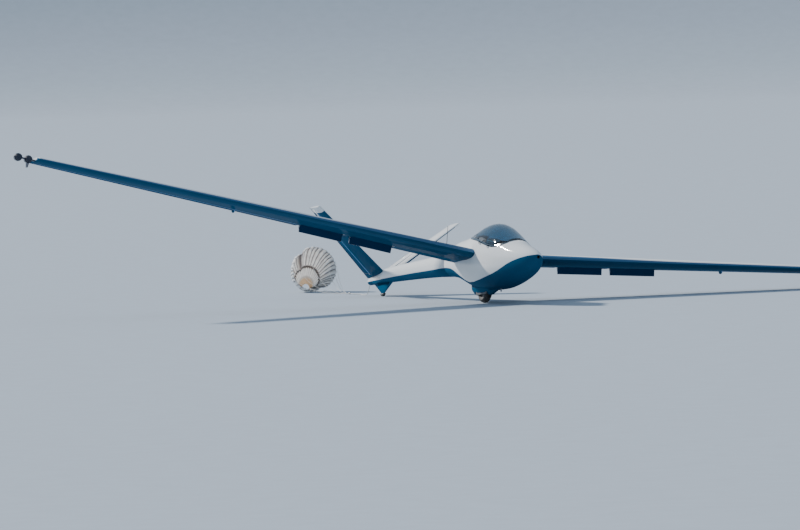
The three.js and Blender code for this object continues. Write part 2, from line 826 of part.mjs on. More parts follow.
function buildWing(side, name) {
  const wing = new Panel(WING, side);
  const whole = wing.body().subtract(clearOfFuselage);
  let body = whole;

  for (const [where, [from, to]] of Object.entries(AIRBRAKE.panels)) {
    const shareAt = (span) => 1 - AIRBRAKE.behindPivot / wing.chord(span);
    const panel = new HingedPanel(wing, from, to, shareAt, () => AIRBRAKE.noseRadius, AIRBRAKE.pin);
    body = panel.cutFrom(body);
    const group = hinge(`hinge_airbrake_${name}_${where}`, panel.frame);
    const plate = panel.takenFrom(whole);
    placeHinged(`airbrake_${name}_${where}`, plate, MATERIAL.coat, group, -AIRBRAKE.openDegrees);
  }

  const { from, to, hinge: share, pin } = AILERON;
  const radiusAt = (span) => wing.chord(span) * wing.surfaces(share).half * 1.08;
  const aileron = new HingedPanel(wing, from, to, () => share, radiusAt, pin);
  body = aileron.cutFrom(body);
  const group = hinge(`hinge_aileron_${name}`, aileron.frame);
  placeHinged(`aileron_${name}`, aileron.takenFrom(whole).add(aileronHorn(wing)), MATERIAL.coat, group);
  place(`wing_${name}`, body, MATERIAL.coat);
  return buildTip(wing, name);
}

// The small horn under the aileron that its push rod drives.
function aileronHorn(wing) {
  const { at, chordShare, long, wide, deep } = AILERON_HORN;
  const form = new THREE.SphereGeometry(1, 10, 8).scale(wide / 2, long / 2, deep);
  const seat = wing.at(at, chordShare, wing.surfaces(chordShare).lower);
  return solid(form.translate(seat.x, seat.y, seat.z)).intersect(
    box([-9000, 0, -500], [9000, 9000, seat.z + 4]),
  );
}

function buildTailHalf(side, name) {
  const half = new Panel(TAIL, side);
  const whole = half.body().subtract(clearOfFuselage);
  const { from, to, hinge: share, pin } = RUDDERVATOR;
  const radiusAt = (span) => half.chord(span) * half.surfaces(share).half * 1.08;
  const moving = new HingedPanel(half, from, to, () => share, radiusAt, pin);
  const group = hinge(`hinge_ruddervator_${name}`, moving.frame);
  placeHinged(`ruddervator_${name}`, moving.takenFrom(whole), MATERIAL.coat, group);
  place(`tailplane_${name}`, moving.cutFrom(whole), MATERIAL.coat);
}

function buildFin() {
  const fin = new Panel(FIN, 1);
  const body = loft([fin.ring(0), fin.ring(FIN.span)]).subtract(clearOfFuselage);
  place("ventral_fin", body, MATERIAL.coat);
  const top = FIN.height - FIN.span - FIT;
  const { from, to, deep, wide } = TAIL_SKID;
  const outline = [
    [from, top],
    [to, top],
    [to - 8, top - deep * 0.6],
    [to - 32, top - deep],
    [from + 44, top - deep],
    [from + 10, top - deep * 0.5],
  ];
  return place("tail_skid", sideExtrude(outline, -wide / 2, wide / 2), MATERIAL.rubber);
}

function buildWheel() {
  const across = WHEEL.boxHalf + WHEEL.boxWall;
  const hole = rod(
    vec(-across - 5, WHEEL.station, WHEEL.height),
    vec(across + 5, WHEEL.station, WHEEL.height),
    WHEEL.axle + FIT,
  );
  const shell = wheelBox(WHEEL.boxWall).subtract(wheelBox(0, 20));
  place("wheel_box", shell.subtract(hole), MATERIAL.grey);

  const sides = 20;
  const fairing = loft(
    WHEEL_FAIRING.map(([station, wide, bottom]) =>
      Array.from({ length: sides }, (_, i) => {
        const angle = (2 * Math.PI * i) / sides;
        const deep = FAIRING_TOP - bottom;
        return vec(wide * Math.cos(angle), station, FAIRING_TOP + deep * Math.sin(angle));
      }),
    ),
  );
  const cut = fairing.subtract(clearOfFuselage).subtract(wheelBox(WHEEL.boxWall + FIT, 40));
  place("wheel_fairing", cut, MATERIAL.coat);

  const axle = rod(
    vec(-across, WHEEL.station, WHEEL.height),
    vec(across, WHEEL.station, WHEEL.height),
    WHEEL.axle,
  );
  place("wheel_axle", axle, MATERIAL.steel);

  const hookOutline = TOW_HOOK.outline.map(([y, z]) => [TOW_HOOK.at + y, z]);
  const hook = sideExtrude(hookOutline, -TOW_HOOK.wide / 2, TOW_HOOK.wide / 2);
  place("tow_hook", hook.subtract(clearOfFuselage), MATERIAL.steel);

  const frame = new THREE.Matrix4().makeTranslation(0, WHEEL.station, WHEEL.height);
  const group = hinge("hinge_wheel", frame);
  const { radius, width, rim } = WHEEL;
  const shoulder = width / 2;
  const wheelTurned = (profile, sides) => {
    const ring = turned([...profile, profile[0]], sides).rotateZ(-Math.PI / 2);
    return solid(ring.translate(0, WHEEL.station, WHEEL.height));
  };
  const crown = Array.from({ length: 15 }, (_, i) => {
    const angle = (Math.PI * (i - 7)) / 14;
    return [radius - 34 * (1 - Math.cos(angle)), shoulder * Math.sin(angle)];
  });
  const tyre = wheelTurned([[rim, -shoulder * 0.62], ...crown, [rim, shoulder * 0.62]], 84);
  const hub = wheelTurned(
    [
      [WHEEL.axle + FIT, -shoulder],
      [30, -shoulder],
      [36, -shoulder * 0.5],
      [rim - 12, -shoulder * 0.46],
      [rim - FIT, -shoulder * 0.6],
      [rim - FIT, shoulder * 0.6],
      [rim - 12, shoulder * 0.46],
      [36, shoulder * 0.5],
      [30, shoulder],
      [WHEEL.axle + FIT, shoulder],
    ],
    20,
  );
  placeHinged("wheel_hub", hub, MATERIAL.grey, group);
  return placeHinged("main_tyre", tyre, MATERIAL.rubber, group);
}

buildFuselage();
buildCanopy();
buildCockpit();
const tipBracket = buildWing(1, "left");
buildWing(-1, "right");
buildTailHalf(1, "left");
buildTailHalf(-1, "right");
const tailSkid = buildFin();
const tyre = buildWheel();

// Parking attitude: the airframe turned until the tyre, the tail skid and the left tip skid all
// stand on one level, then moved so that this level is the floor.
function lowest(mesh) {
  const position = mesh.geometry.getAttribute("position");
  let low = null;
  for (let i = 0; i < position.count; i++) {
    const point = vec().fromBufferAttribute(position, i).applyMatrix4(mesh.matrixWorld);
    if (!low || point.z < low.z) low = point;
  }
  return low;
}

function settle() {
  airframe.rotation.order = "YXZ";
  for (let round = 0; round < 12; round++) {
    airframe.updateMatrixWorld(true);
    const [wheel, tail, tip] = [tyre, tailSkid, tipBracket].map(lowest);
    airframe.rotation.x -= Math.atan((tail.z - wheel.z) / (tail.y - wheel.y));
    airframe.rotation.y += Math.atan((tip.z - wheel.z) / (tip.x - wheel.x));
    airframe.position.z -= wheel.z;
  }
  airframe.updateMatrixWorld(true);
  const bounds = new THREE.Box3().setFromObject(airframe, true);
  airframe.position.x -= (bounds.min.x + bounds.max.x) / 2;
  airframe.position.y -= (bounds.min.y + bounds.max.y) / 2;
  airframe.position.z -= bounds.min.z;
  airframe.updateMatrixWorld(true);
}
settle();

// The drag parachute in the floor frame: riser, swivel, lines and cloth, lying behind the tail.
function buildDrogue() {
  const group = new THREE.Group();
  group.name = "drogue";
  const inner = RISER.inner.map((p) => vec(...p).applyMatrix4(airframe.matrixWorld));
  const lip = inner.at(-1);
  const route = [...inner, ...RISER.floor.map(([x, y, z]) => vec(lip.x + x, lip.y + y, z))];
  place("drogue_riser", tube(route, RISER.radius, RISER.steps, RISER.sides), MATERIAL.nylon, group);

  const start = route.at(-1);
  const behind = (distance) => vec(start.x, start.y + distance, start.z);
  const swivel = joined([
    rod(behind(FIT), behind(FIT + SWIVEL.long), SWIVEL.neck),
    rod(behind(FIT + 8), behind(FIT + SWIVEL.long - 8), SWIVEL.radius),
  ]);
  place("drogue_swivel", swivel, MATERIAL.steel, group);

  const mouth = lip.y + DROGUE.mouth;
  const ringPoint = (radius, angle, back) => {
    const height = Math.sin(angle) * (Math.sin(angle) > 0 ? 1 : DROGUE.squash);
    const centre = DROGUE.squash * radius + DROGUE.above;
    return vec(start.x + radius * Math.cos(angle), mouth + back, centre + radius * height);
  };
  const ring = (radius, back, centreRadius) =>
    Array.from({ length: DROGUE.sides }, (_, i) => {
      const point = ringPoint(radius, (2 * Math.PI * i) / DROGUE.sides, back);
      point.z += DROGUE.squash * (centreRadius - radius);
      return point;
    });
  const skin = loft(CANOPY_RINGS.map(([back, radius]) => ring(radius, back, radius)));
  const hollow = CANOPY_RINGS.map(([back, radius]) =>
    ring(radius - DROGUE.wall, back - DROGUE.wall, radius),
  );
  const vent = ring(DROGUE.vent, 200, CANOPY_RINGS.at(-1)[1]);
  const ventEnd = vent.map((point) => point.clone().setY(mouth + 400));
  const cloth = skin.subtract(loft(hollow)).subtract(loft([vent, ventEnd]));
  place("drogue_canopy", cloth, MATERIAL.nylon, group);

  const from = behind(FIT + SWIVEL.long + FIT);
  const knotEnd = from.clone().setY(from.y + KNOT.long);
  const rim = CANOPY_RINGS[0][1];
  const lines = Array.from({ length: LINES.count }, (_, i) => {
    const angle = (2 * Math.PI * (i + 0.5)) / LINES.count;
    const end = ringPoint(rim, angle, 0);
    end.x = start.x + (rim - DROGUE.wall / 2) * Math.cos(angle);
    const hang = LINE_HANG.map(([share, high]) => {
      const point = knotEnd.clone().lerp(end, share);
      return point.setZ(lerp(LINES.floor, end.z, high));
    });
    return tube([knotEnd.clone().setY(knotEnd.y - 6), ...hang], LINES.radius, LINES.steps, LINES.sides);
  });
  const pastMouth = box([-9000, mouth - FIT, -100], [9000, mouth + 100, 900]);
  const web = joined([rod(from, knotEnd, KNOT.radius), ...lines]).subtract(pastMouth);
  place("drogue_lines", web, MATERIAL.nylon, group);
  return group;
}

// The whole, turned so that the nose points to +Y.
const sailplane = new THREE.Group();
sailplane.name = "sailplane";
sailplane.rotation.z = Math.PI;
sailplane.add(airframe, buildDrogue());

export default sailplane;
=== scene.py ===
"""A single-seat V-tail sailplane, parked with its drag parachute laid out behind it.

Sizes are in metres. The airframe leans on its left wing tip, so its own axes and origin are read
from the record's mounts, and places on it are given as (left, aft, up) of the nose.
"""

import json
import logging
import math
import random
from dataclasses import dataclass
from enum import Enum
from typing import Callable, Optional, Sequence, Union

import bpy
from mathutils import Matrix, Vector

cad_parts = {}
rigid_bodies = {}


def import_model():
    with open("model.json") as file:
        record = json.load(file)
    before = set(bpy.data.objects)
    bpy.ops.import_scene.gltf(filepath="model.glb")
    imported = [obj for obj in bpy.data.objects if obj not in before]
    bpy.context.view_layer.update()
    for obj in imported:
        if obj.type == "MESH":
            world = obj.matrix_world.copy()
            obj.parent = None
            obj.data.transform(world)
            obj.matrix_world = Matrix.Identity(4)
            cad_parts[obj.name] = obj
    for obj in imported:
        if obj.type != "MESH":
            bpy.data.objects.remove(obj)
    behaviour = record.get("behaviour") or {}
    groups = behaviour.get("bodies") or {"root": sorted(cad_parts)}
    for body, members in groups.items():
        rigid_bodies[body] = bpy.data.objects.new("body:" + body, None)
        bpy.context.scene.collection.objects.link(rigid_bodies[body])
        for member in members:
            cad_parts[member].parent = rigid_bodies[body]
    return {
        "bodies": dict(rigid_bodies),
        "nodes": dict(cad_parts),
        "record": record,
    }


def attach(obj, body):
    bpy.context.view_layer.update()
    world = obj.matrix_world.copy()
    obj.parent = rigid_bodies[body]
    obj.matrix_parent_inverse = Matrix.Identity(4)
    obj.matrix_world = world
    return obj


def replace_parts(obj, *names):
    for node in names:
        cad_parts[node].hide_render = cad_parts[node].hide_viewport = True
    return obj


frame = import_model()

Point = Sequence[float]
Colour = tuple[float, float, float]
Number = Union[float, "Maths"]
Socket = bpy.types.NodeSocket
Piece = bpy.types.Object
log = logging.getLogger("sailplane")


# Numbers in shaders


def operator(operation: str, swapped: bool = False) -> Callable[["Maths", Number], "Maths"]:
    """Makes a method that adds a Math node.

    Args:
        operation: the node's operation.
        swapped: whether the other number comes first.

    Returns:
        The method.
    """

    def method(self: "Maths", other: Number) -> "Maths":
        """Combines this number with the other."""
        return self.node(operation, other, self) if swapped else self.node(operation, self, other)

    return method


class Maths:
    """A number in a node tree, with Python's operators."""

    __add__ = operator("ADD")
    __radd__ = operator("ADD", swapped=True)
    __sub__ = operator("SUBTRACT")
    __rsub__ = operator("SUBTRACT", swapped=True)
    __mul__ = operator("MULTIPLY")
    __rmul__ = operator("MULTIPLY", swapped=True)
    __truediv__ = operator("DIVIDE")
    max = operator("MAXIMUM")
    min = operator("MINIMUM")

    def __init__(self, tree: bpy.types.NodeTree, socket: Socket) -> None:
        """Wraps an output that gives a number."""
        self.tree = tree
        self.socket = socket

    def node(self, operation: str, *values: Number) -> "Maths":
        """Adds one Math node.

        Args:
            operation: the node's operation.
            values: its inputs, in order.

        Returns:
            The node's result.
        """
        node = self.tree.nodes.new("ShaderNodeMath")
        node.operation = operation
        for socket, value in zip(node.inputs, values):
            if isinstance(value, Maths):
                self.tree.links.new(value.socket, socket)
            else:
                socket.default_value = value
        return Maths(self.tree, node.outputs[0])

    def __neg__(self) -> "Maths":
        """Negates."""
        return self * -1.0

    def __abs__(self) -> "Maths":
        """Drops the sign."""
        return self.node("ABSOLUTE", self)

    def sine(self) -> "Maths":
        """Takes the sine."""
        return self.node("SINE", self)

    def over(self, edge: float, soft: float) -> "Maths":
        """Steps from 0 to 1 at an edge, over a width of soft."""
        return ((self - edge) / soft + 0.5).max(0.0).min(1.0)

    def band(self, low: float, high: float, soft: float) -> "Maths":
        """Gives 1 between two edges, each of a width of soft."""
        return self.over(low, soft) * (1.0 - self.over(high, soft))


class Paint:
    """Builds one material's nodes."""

    def __init__(self, name: str) -> None:
        """Starts a material.

        Args:
            name: the material's name.
        """
        self.material = bpy.data.materials.new(name)
        self.material.use_nodes = True
        self.tree = self.material.node_tree
        self.shader = self.tree.nodes["Principled BSDF"]
        self.coordinates = self.node("ShaderNodeTexCoord")
        self.place = self.coordinates.outputs["Object"]

    def node(self, kind: str, settings: Optional[dict] = None, **sockets: object) -> bpy.types.Node:
        """Adds a node.

        Args:
            kind: the node's type.
            settings: its properties.
            sockets: values or outputs for its inputs, with _ for a space.

        Returns:
            The node.
        """
        node = self.tree.nodes.new(kind)
        for key, value in (settings or {}).items():
            setattr(node, key, value)
        for key, value in sockets.items():
            self.put(node.inputs[key.replace("_", " ")], value)
        return node

    def put(self, socket: Socket, value: object) -> None:
        """Sets or links an input.

        Args:
            socket: the input.
            value: a number, a colour, an output or a Maths.
        """
        if isinstance(value, Maths):
            value = value.socket
        if isinstance(value, Socket):
            self.tree.links.new(value, socket)
        elif socket.type == "RGBA" and len(value) == 3:
            socket.default_value = (*value, 1.0)
        else:
            socket.default_value = value

    def dot(self, vector: Socket, axis: Vector) -> Maths:
        """Measures a vector along an axis.

        Args:
            vector: the vector.
            axis: the axis.

        Returns:
            Its length along the axis.
        """
        node = self.node("ShaderNodeVectorMath", {"operation": "DOT_PRODUCT"})
        self.put(node.inputs[0], vector)
        node.inputs[1].default_value = axis
        return Maths(self.tree, node.outputs["Value"])

    def along(self, axis: Vector, origin: Vector) -> Maths:
        """Measures the place along an axis from an origin."""
        return self.dot(self.place, axis) - axis.dot(origin)

    def facing(self, axis: Vector) -> Maths:
        """Measures how far the surface faces along an axis."""
        return self.dot(self.coordinates.outputs["Normal"], axis)

    def attribute(self, name: str) -> Maths:
        """Reads one of the mesh's own attributes."""
        node = self.node("ShaderNodeAttribute", {"attribute_name": name})
        return Maths(self.tree, node.outputs["Fac"])

    def noise(self, scale: float, detail: float, stretch: Point = (1, 1, 1)) -> Maths:
        """Adds noise about 0.5.

        Args:
            scale: features per metre.
            detail: octaves.
            stretch: the scale's factor along each axis.

        Returns:
            The noise.
        """
        turned = self.node("ShaderNodeMapping", Vector=self.place, Scale=stretch)
        sockets = {"Vector": turned.outputs[0], "Scale": scale, "Detail": detail}
        return Maths(self.tree, self.node("ShaderNodeTexNoise", **sockets).outputs[0])

    def mix(self, factor: Number, first: object, second: object) -> Socket:
        """Mixes two colours.

        Args:
            factor: the second colour's share.
            first: a colour or output.
            second: a colour or output.

        Returns:
            The mixed colour.
        """
        node = self.node("ShaderNodeMix", {"data_type": "RGBA"})
        for index, value in ((0, factor), (6, first), (7, second)):
            self.put(node.inputs[index], value)
        return node.outputs[2]

    def bump(self, height: Number, distance: float, strength: float) -> None:
        """Sets the relief.

        Args:
            height: how high the surface is, from 0 to 1.
            distance: what 1 stands for, in metres.
            strength: the relief's share.
        """
        node = self.node("ShaderNodeBump", Height=height, Distance=distance, Strength=strength)
        self.put(self.shader.inputs["Normal"], node.outputs[0])

    def set(self, **sockets: object) -> None:
        """Sets the shader's inputs, with _ for a space."""
        for key, value in sockets.items():
            self.put(self.shader.inputs[key.replace("_", " ")], value)


def shade(colour: Colour, factor: float) -> Colour:
    """Makes a colour darker or lighter."""
    return tuple(factor * v for v in colour)


# Places


@dataclass(frozen=True)
class Airframe:
    """The leaning airframe's axes and origin in the row frame."""

    left: Vector
    aft: Vector
    up: Vector
    nose: Vector

    @classmethod
    def read(cls, shelf_aft: float = 1.76, shelf_up: float = 0.13) -> "Airframe":
        """Reads the axes from the record's mounts.

        Args:
            shelf_aft: how far behind the nose the baggage shelf's mount is.
            shelf_up: how far over the nose it is.

        Returns:
            The airframe.
        """
        mounts = {mount["name"]: mount for mount in frame["record"]["mounts"]}
        left, aft, up = (
            Vector(mounts[name]["axis"]).normalized()
            for name in ("tow_hook_side", "instrument_face", "baggage_shelf_top")
        )
        shelf = Vector(mounts["baggage_shelf_top"]["pos_m"])
        return cls(left, aft, up, shelf - shelf_aft * aft - shelf_up * up)

    def at(self, left: float, aft: float, up: float) -> Vector:
        """Turns a place on the airframe into the row frame."""
        return self.nose + left * self.left + aft * self.aft + up * self.up


AIRFRAME = Airframe.read()
LEVEL = Matrix.Identity(4)
ROW_X, ROW_Y = Vector((1, 0, 0)), Vector((0, 1, 0))


def placed(origin: Vector, along: Vector, across: Vector) -> Matrix:
    """Makes a place.

    Args:
        origin: where it is.
        along: its Z axis.
        across: roughly its X axis.

    Returns:
        The place.
    """
    z = along.normalized()
    x = (across - across.dot(z) * z).normalized()
    return Matrix.Translation(origin) @ Matrix((x, z.cross(x), z)).transposed().to_4x4()


def rounded(points: Sequence[Vector], steps: int) -> list[Vector]:
    """Runs a smooth line through points.

    Args:
        points: the points.
        steps: how many stretches there are between two of them.

    Returns:
        The line's points.
    """
    ends = [2 * points[0] - points[1], *points, 2 * points[-1] - points[-2]]
    line = []
    for a, b, c, d in zip(ends, ends[1:], ends[2:], ends[3:]):
        knots = [0.0]
        for p, q in ((a, b), (b, c), (c, d)):
            knots.append(knots[-1] + max((q - p).length, 1e-6) ** 0.5)
        for k in range(steps):
            t = knots[1] + (knots[2] - knots[1]) * k / steps

            def between(p: Vector, q: Vector, start: float, end: float) -> Vector:
                """Blends two points by the knots."""
                return p * ((end - t) / (end - start)) + q * ((t - start) / (end - start))

            ab = between(a, b, knots[0], knots[1])
            bc = between(b, c, knots[1], knots[2])
            cd = between(c, d, knots[2], knots[3])
            abc = between(ab, bc, knots[0], knots[2])
            bcd = between(bc, cd, knots[1], knots[3])
            line.append(between(abc, bcd, knots[1], knots[2]))
    return [*line, points[-1]]


# Finishes


class Finish:
    """A surface that is laid on as a material's nodes."""

    def lay(self, paint: Paint) -> None:
        """Sets the material's nodes."""
        raise NotImplementedError

    def build(self, name: str) -> bpy.types.Material:
        """Makes the material.

        Args:
            name: its name.

        Returns:
            The material.
        """
        paint = Paint(name)
        self.lay(paint)
        return paint.material


class Zone(Enum):
    """Where the coat is, which sets its colour scheme."""

    FUSELAGE = "fuselage"
    WING = "wing"
    TAIL = "tail"
    FIN = "fin"
    BRAKE = "brake"


@dataclass(frozen=True)
class Planform:
    """A tapered panel's plan along its span, and where its dark edge and its pale hinge line are.

    The dark edge and the pale hinge line are given as shares of the chord; the hinge line's stretch
    along the span is in metres.
    """

    span: float
    root: float
    tip: float
    leading: float
    sweep: float
    rise: float
    dark_from: float
    dark_soft: float
    hinge_chord: tuple[float, float]
    chord_soft: float
    hinge_span: tuple[float, float]
    span_soft: float


WING_PLAN = Planform(
    6.56, 0.87, 0.39, 1.44, 0.02, 4.8, 0.955, 0.006, (0.755, 0.79), 0.006, (2.66, 6.47), 0.02
)
TAIL_PLAN = Planform(
    1.357, 0.665, 0.356, 4.988, 0.129, 39.7, 0.95, 0.01, (0.655, 0.685), 0.008, (0.13, 1.32), 0.01
)


@dataclass(frozen=True)
class Coat(Finish):
    """Glossy white coat, with deep blue-green underneath that is partly trim paint and partly
    painted shade and sky reflection.
    """

    zone: Zone
    white: Colour = (0.80, 0.815, 0.82)
    dirt: Colour = (0.55, 0.56, 0.53)
    # Deep blue-green underneath: partly trim paint, partly painted shade and sky reflection.
    trim_and_shade: Colour = (0.003, 0.072, 0.15)
    # Darker blue for the trailing edge's underside, and for the airbrakes' forward side as painted
    # shade.
    dark: Colour = (0.002, 0.022, 0.075)
    # Pale blue for the line along the hinge on the underside, and for the painted sky reflection on
    # the leading edge's upper front.
    hinge_line_and_highlight: Colour = (0.20, 0.36, 0.62)
    # The blue-green's upper edge along the fuselage, as (aft, up) of the nose: partly a trim line,
    # partly the edge of painted shade.
    belly_line: tuple[tuple[float, float], ...] = (
        (0.0, 0.02), (0.4, -0.06), (0.9, -0.19), (1.79, -0.235),
        (2.15, -0.12), (2.5, 0.004), (3.4, 0.043), (5.6, 0.06),
    )
    nose_cap: tuple[float, float] = (0.2, 0.02)
    white_tip: float = 1.27

    def belly(self, paint: Paint) -> Maths:
        """Paints the deep blue-green under a line along the fuselage, partly trim paint and partly
        painted shade.

        Args:
            paint: the material.

        Returns:
            How much of the blue-green, partly trim and partly painted shade, the place has.
        """
        aft = paint.along(AIRFRAME.aft, AIRFRAME.nose)
        up = paint.along(AIRFRAME.up, AIRFRAME.nose)
        line: Number = self.belly_line[0][1]
        slope = 0.0
        course = rounded([Vector(point) for point in self.belly_line], 4)
        for (y0, z0), (y1, z1) in zip(course, course[1:]):
            rise = (z1 - z0) / (y1 - y0)
            line = (aft - y0).max(0.0) * (rise - slope) + line
            slope = rise
        return (line - up).over(0.0, 0.003)

    def share(self, paint: Paint, plan: Planform) -> tuple[Maths, Maths]:
        """Measures the place on a tapered panel.

        Args:
            paint: the material.
            plan: the panel.

        Returns:
            The distance along the span and the share of the chord.
        """
        span = abs(paint.along(AIRFRAME.left, AIRFRAME.nose)) / math.cos(math.radians(plan.rise))
        back = paint.along(AIRFRAME.aft, AIRFRAME.nose) - plan.leading
        back = back - span * (plan.sweep / plan.span)
        return span, back / (plan.root - span * ((plan.root - plan.tip) / plan.span))

    def scheme(self, paint: Paint) -> tuple[Number, Number, Number]:
        """Lays out the colours.

        Args:
            paint: the material.

        Returns:
            How much blue-green (trim paint and painted shade), dark edge, and pale hinge line with
            painted highlight the place has.
        """
        if self.zone in (Zone.FUSELAGE, Zone.FIN):
            return self.belly(paint), 0.0, 0.0
        if self.zone is Zone.BRAKE:
            # The airbrakes' forward-facing side gets the blue-green and the dark blue as painted
            # shade.
            ahead = (-paint.facing(AIRFRAME.aft)).over(0.1, 0.05)
            return ahead, ahead * 0.75, 0.0
        plan = WING_PLAN if self.zone is Zone.WING else TAIL_PLAN
        # Surfaces that face down get the blue-green, partly trim paint and partly painted shade.
        below = (-paint.facing(AIRFRAME.up)).over(0.04, 0.03)
        span, share = self.share(paint, plan)
        dark = below * share.over(plan.dark_from, plan.dark_soft)
        # A pale blue line along the hinge on the underside.
        hinge_line_and_highlight = share.band(*plan.hinge_chord, plan.chord_soft)
        hinge_line_and_highlight = below * (hinge_line_and_highlight * span.band(*plan.hinge_span, plan.span_soft))
        if self.zone is Zone.TAIL:
            return below * (1.0 - span.over(self.white_tip, 0.006)), dark, hinge_line_and_highlight
        # The leading edge's front face gets the blue-green as painted shade, and its upper part
        # some pale blue as a painted sky reflection.
        front = (0.62 - paint.facing(AIRFRAME.up)).over(0.0, 0.05)
        front = front * (1.0 - share.over(*self.nose_cap))
        return below.max(front), dark, hinge_line_and_highlight.max(front * (1.0 - below) * 0.28)

    def lay(self, paint: Paint) -> None:
        """Sets the material's nodes.

        Args:
            paint: the material.
        """
        trim_and_shade, dark, hinge_line_and_highlight = self.scheme(paint)
        cloud = paint.noise(2.2, 4.0)
        fine = paint.noise(38.0, 5.0, (1, 0.25, 1))
        white = paint.mix((cloud - 0.45) * 0.5, self.white, shade(self.white, 0.93))
        white = paint.mix((fine - 0.6).max(0.0) * 0.35, white, self.dirt)
        deep = paint.mix((cloud - 0.35).max(0.0), self.trim_and_shade, shade(self.trim_and_shade, 1.35))
        # The blue-green underneath is partly trim paint and partly painted shade.
        colour = paint.mix(trim_and_shade, white, deep)
        colour = paint.mix(dark, colour, self.dark)
        # The pale hinge line, and the painted sky reflection on the leading edge.
        colour = paint.mix(hinge_line_and_highlight, colour, self.hinge_line_and_highlight)
        paint.set(
            Base_Color=colour,
            Roughness=0.15 + 0.10 * cloud + 0.12 * (fine - 0.55).max(0.0) + 0.16 * trim_and_shade,
            Coat_Weight=0.75 - 0.67 * trim_and_shade,
            Coat_Roughness=0.05,
            Specular_IOR_Level=0.0,
        )
        paint.bump(paint.noise(5.0, 2.0) * 0.7 + fine * 0.02, 0.0012, 0.25)


@dataclass(frozen=True)
class Satin(Finish):
    """A painted or moulded surface with a fine grain and worn, dusty places."""

    colour: Colour
    roughness: float = 0.45
    metal: float = 0.0
    grain: float = 420.0
    relief: float = 0.00012
    wear: float = 0.25
    worn: Colour = (0.35, 0.34, 0.32)
    coat: float = 0.0

    def lay(self, paint: Paint) -> None:
        """Sets the material's nodes.

        Args:
            paint: the material.
        """
        cloud, grain = paint.noise(16.0, 5.0), paint.noise(self.grain, 2.0)
        worn = (cloud - 0.56).max(0.0) * (self.wear * 4.0)
        colour = paint.mix(worn.min(1.0), self.colour, self.worn)
        colour = paint.mix(grain * 0.25, colour, shade(self.colour, 0.6))
        paint.set(
            Base_Color=colour,
            Roughness=self.roughness + 0.22 * (cloud - 0.5) + 0.1 * (grain - 0.5),
            Metallic=self.metal,
            Coat_Weight=self.coat,
        )
        paint.bump(grain, self.relief, 0.6)


@dataclass(frozen=True)
class BrushedSteel(Finish):
    """Bare metal with fine marks along one axis, and oily patches."""

    colour: Colour = (0.52, 0.53, 0.55)
    oil: Colour = (0.2, 0.19, 0.18)
    marks: Point = (1, 1, 40)
    roughness: float = 0.28

    def lay(self, paint: Paint) -> None:
        """Sets the material's nodes.

        Args:
            paint: the material.
        """
        marks, cloud = paint.noise(60.0, 4.0, self.marks), paint.noise(25.0, 4.0)
        colour = paint.mix((cloud - 0.5).max(0.0) * 2.0, self.colour, self.oil)
        paint.set(Base_Color=colour, Metallic=1.0, Roughness=self.roughness + 0.2 * marks)
        paint.bump(marks, 0.0001, 0.5)


@dataclass(frozen=True)
class Rubber(Finish):
    """Matt rubber with dust in it."""

    colour: Colour = (0.016, 0.017, 0.02)
    dust: Colour = (0.16, 0.15, 0.13)

    def lay(self, paint: Paint) -> None:
        """Sets the material's nodes.

        Args:
            paint: the material.
        """
        cloud, grain = paint.noise(22.0, 6.0), paint.noise(700.0, 2.0)
        colour = paint.mix((cloud - 0.48).max(0.0) * 1.4, self.colour, self.dust)
        roughness = 0.72 + 0.25 * (cloud - 0.5) + 0.1 * (grain - 0.5)
        paint.set(Base_Color=colour, Roughness=roughness)
        paint.bump(grain + cloud * 2.0, 0.0002, 0.5)


@dataclass(frozen=True)
class TintedPane(Finish):
    """Clear blue-tinted acrylic, with faint haze and fine scratches."""

    tint: Colour = (0.07, 0.34, 0.48)

    def lay(self, paint: Paint) -> None:
        """Sets the material's nodes.

        Args:
            paint: the material.
        """
        cloud, marks = paint.noise(6.0, 3.0), paint.noise(90.0, 6.0, (1, 6, 1))
        colour = paint.mix((cloud - 0.4) * 0.4, self.tint, shade(self.tint, 0.85))
        paint.set(
            Base_Color=colour,
            Roughness=0.012 + 0.05 * (marks - 0.56).max(0.0),
            Transmission_Weight=1.0,
            IOR=1.49,
            Coat_Weight=0.3,
        )


@dataclass(frozen=True)
class Weave(Finish):
    """Woven cloth or webbing, with threads both ways, sheen and soft stains."""

    colour: Colour
    second: Colour
    threads: float = 420.0
    relief: float = 0.0004
    stain: float = 0.3
    sheen: float = 0.25

    def lay(self, paint: Paint) -> None:
        """Sets the material's nodes.

        Args:
            paint: the material.
        """
        warp, weft = (
            (paint.along(axis, Vector()) * self.threads * math.tau).sine()
            for axis in (ROW_X, ROW_Y)
        )
        cloth = (warp * weft) * 0.5 + 0.5
        cloud = paint.noise(7.0, 6.0)
        stain = (cloud - 0.5).max(0.0) * self.stain * 4.0
        colour = paint.mix(cloth, self.colour, self.second)
        colour = paint.mix(stain, colour, shade(self.second, 0.62))
        paint.set(
            Base_Color=colour,
            Roughness=0.82 + 0.12 * cloud,
            Sheen_Weight=self.sheen,
            Sheen_Roughness=0.5,
        )
        paint.bump(cloth, self.relief, 0.7)


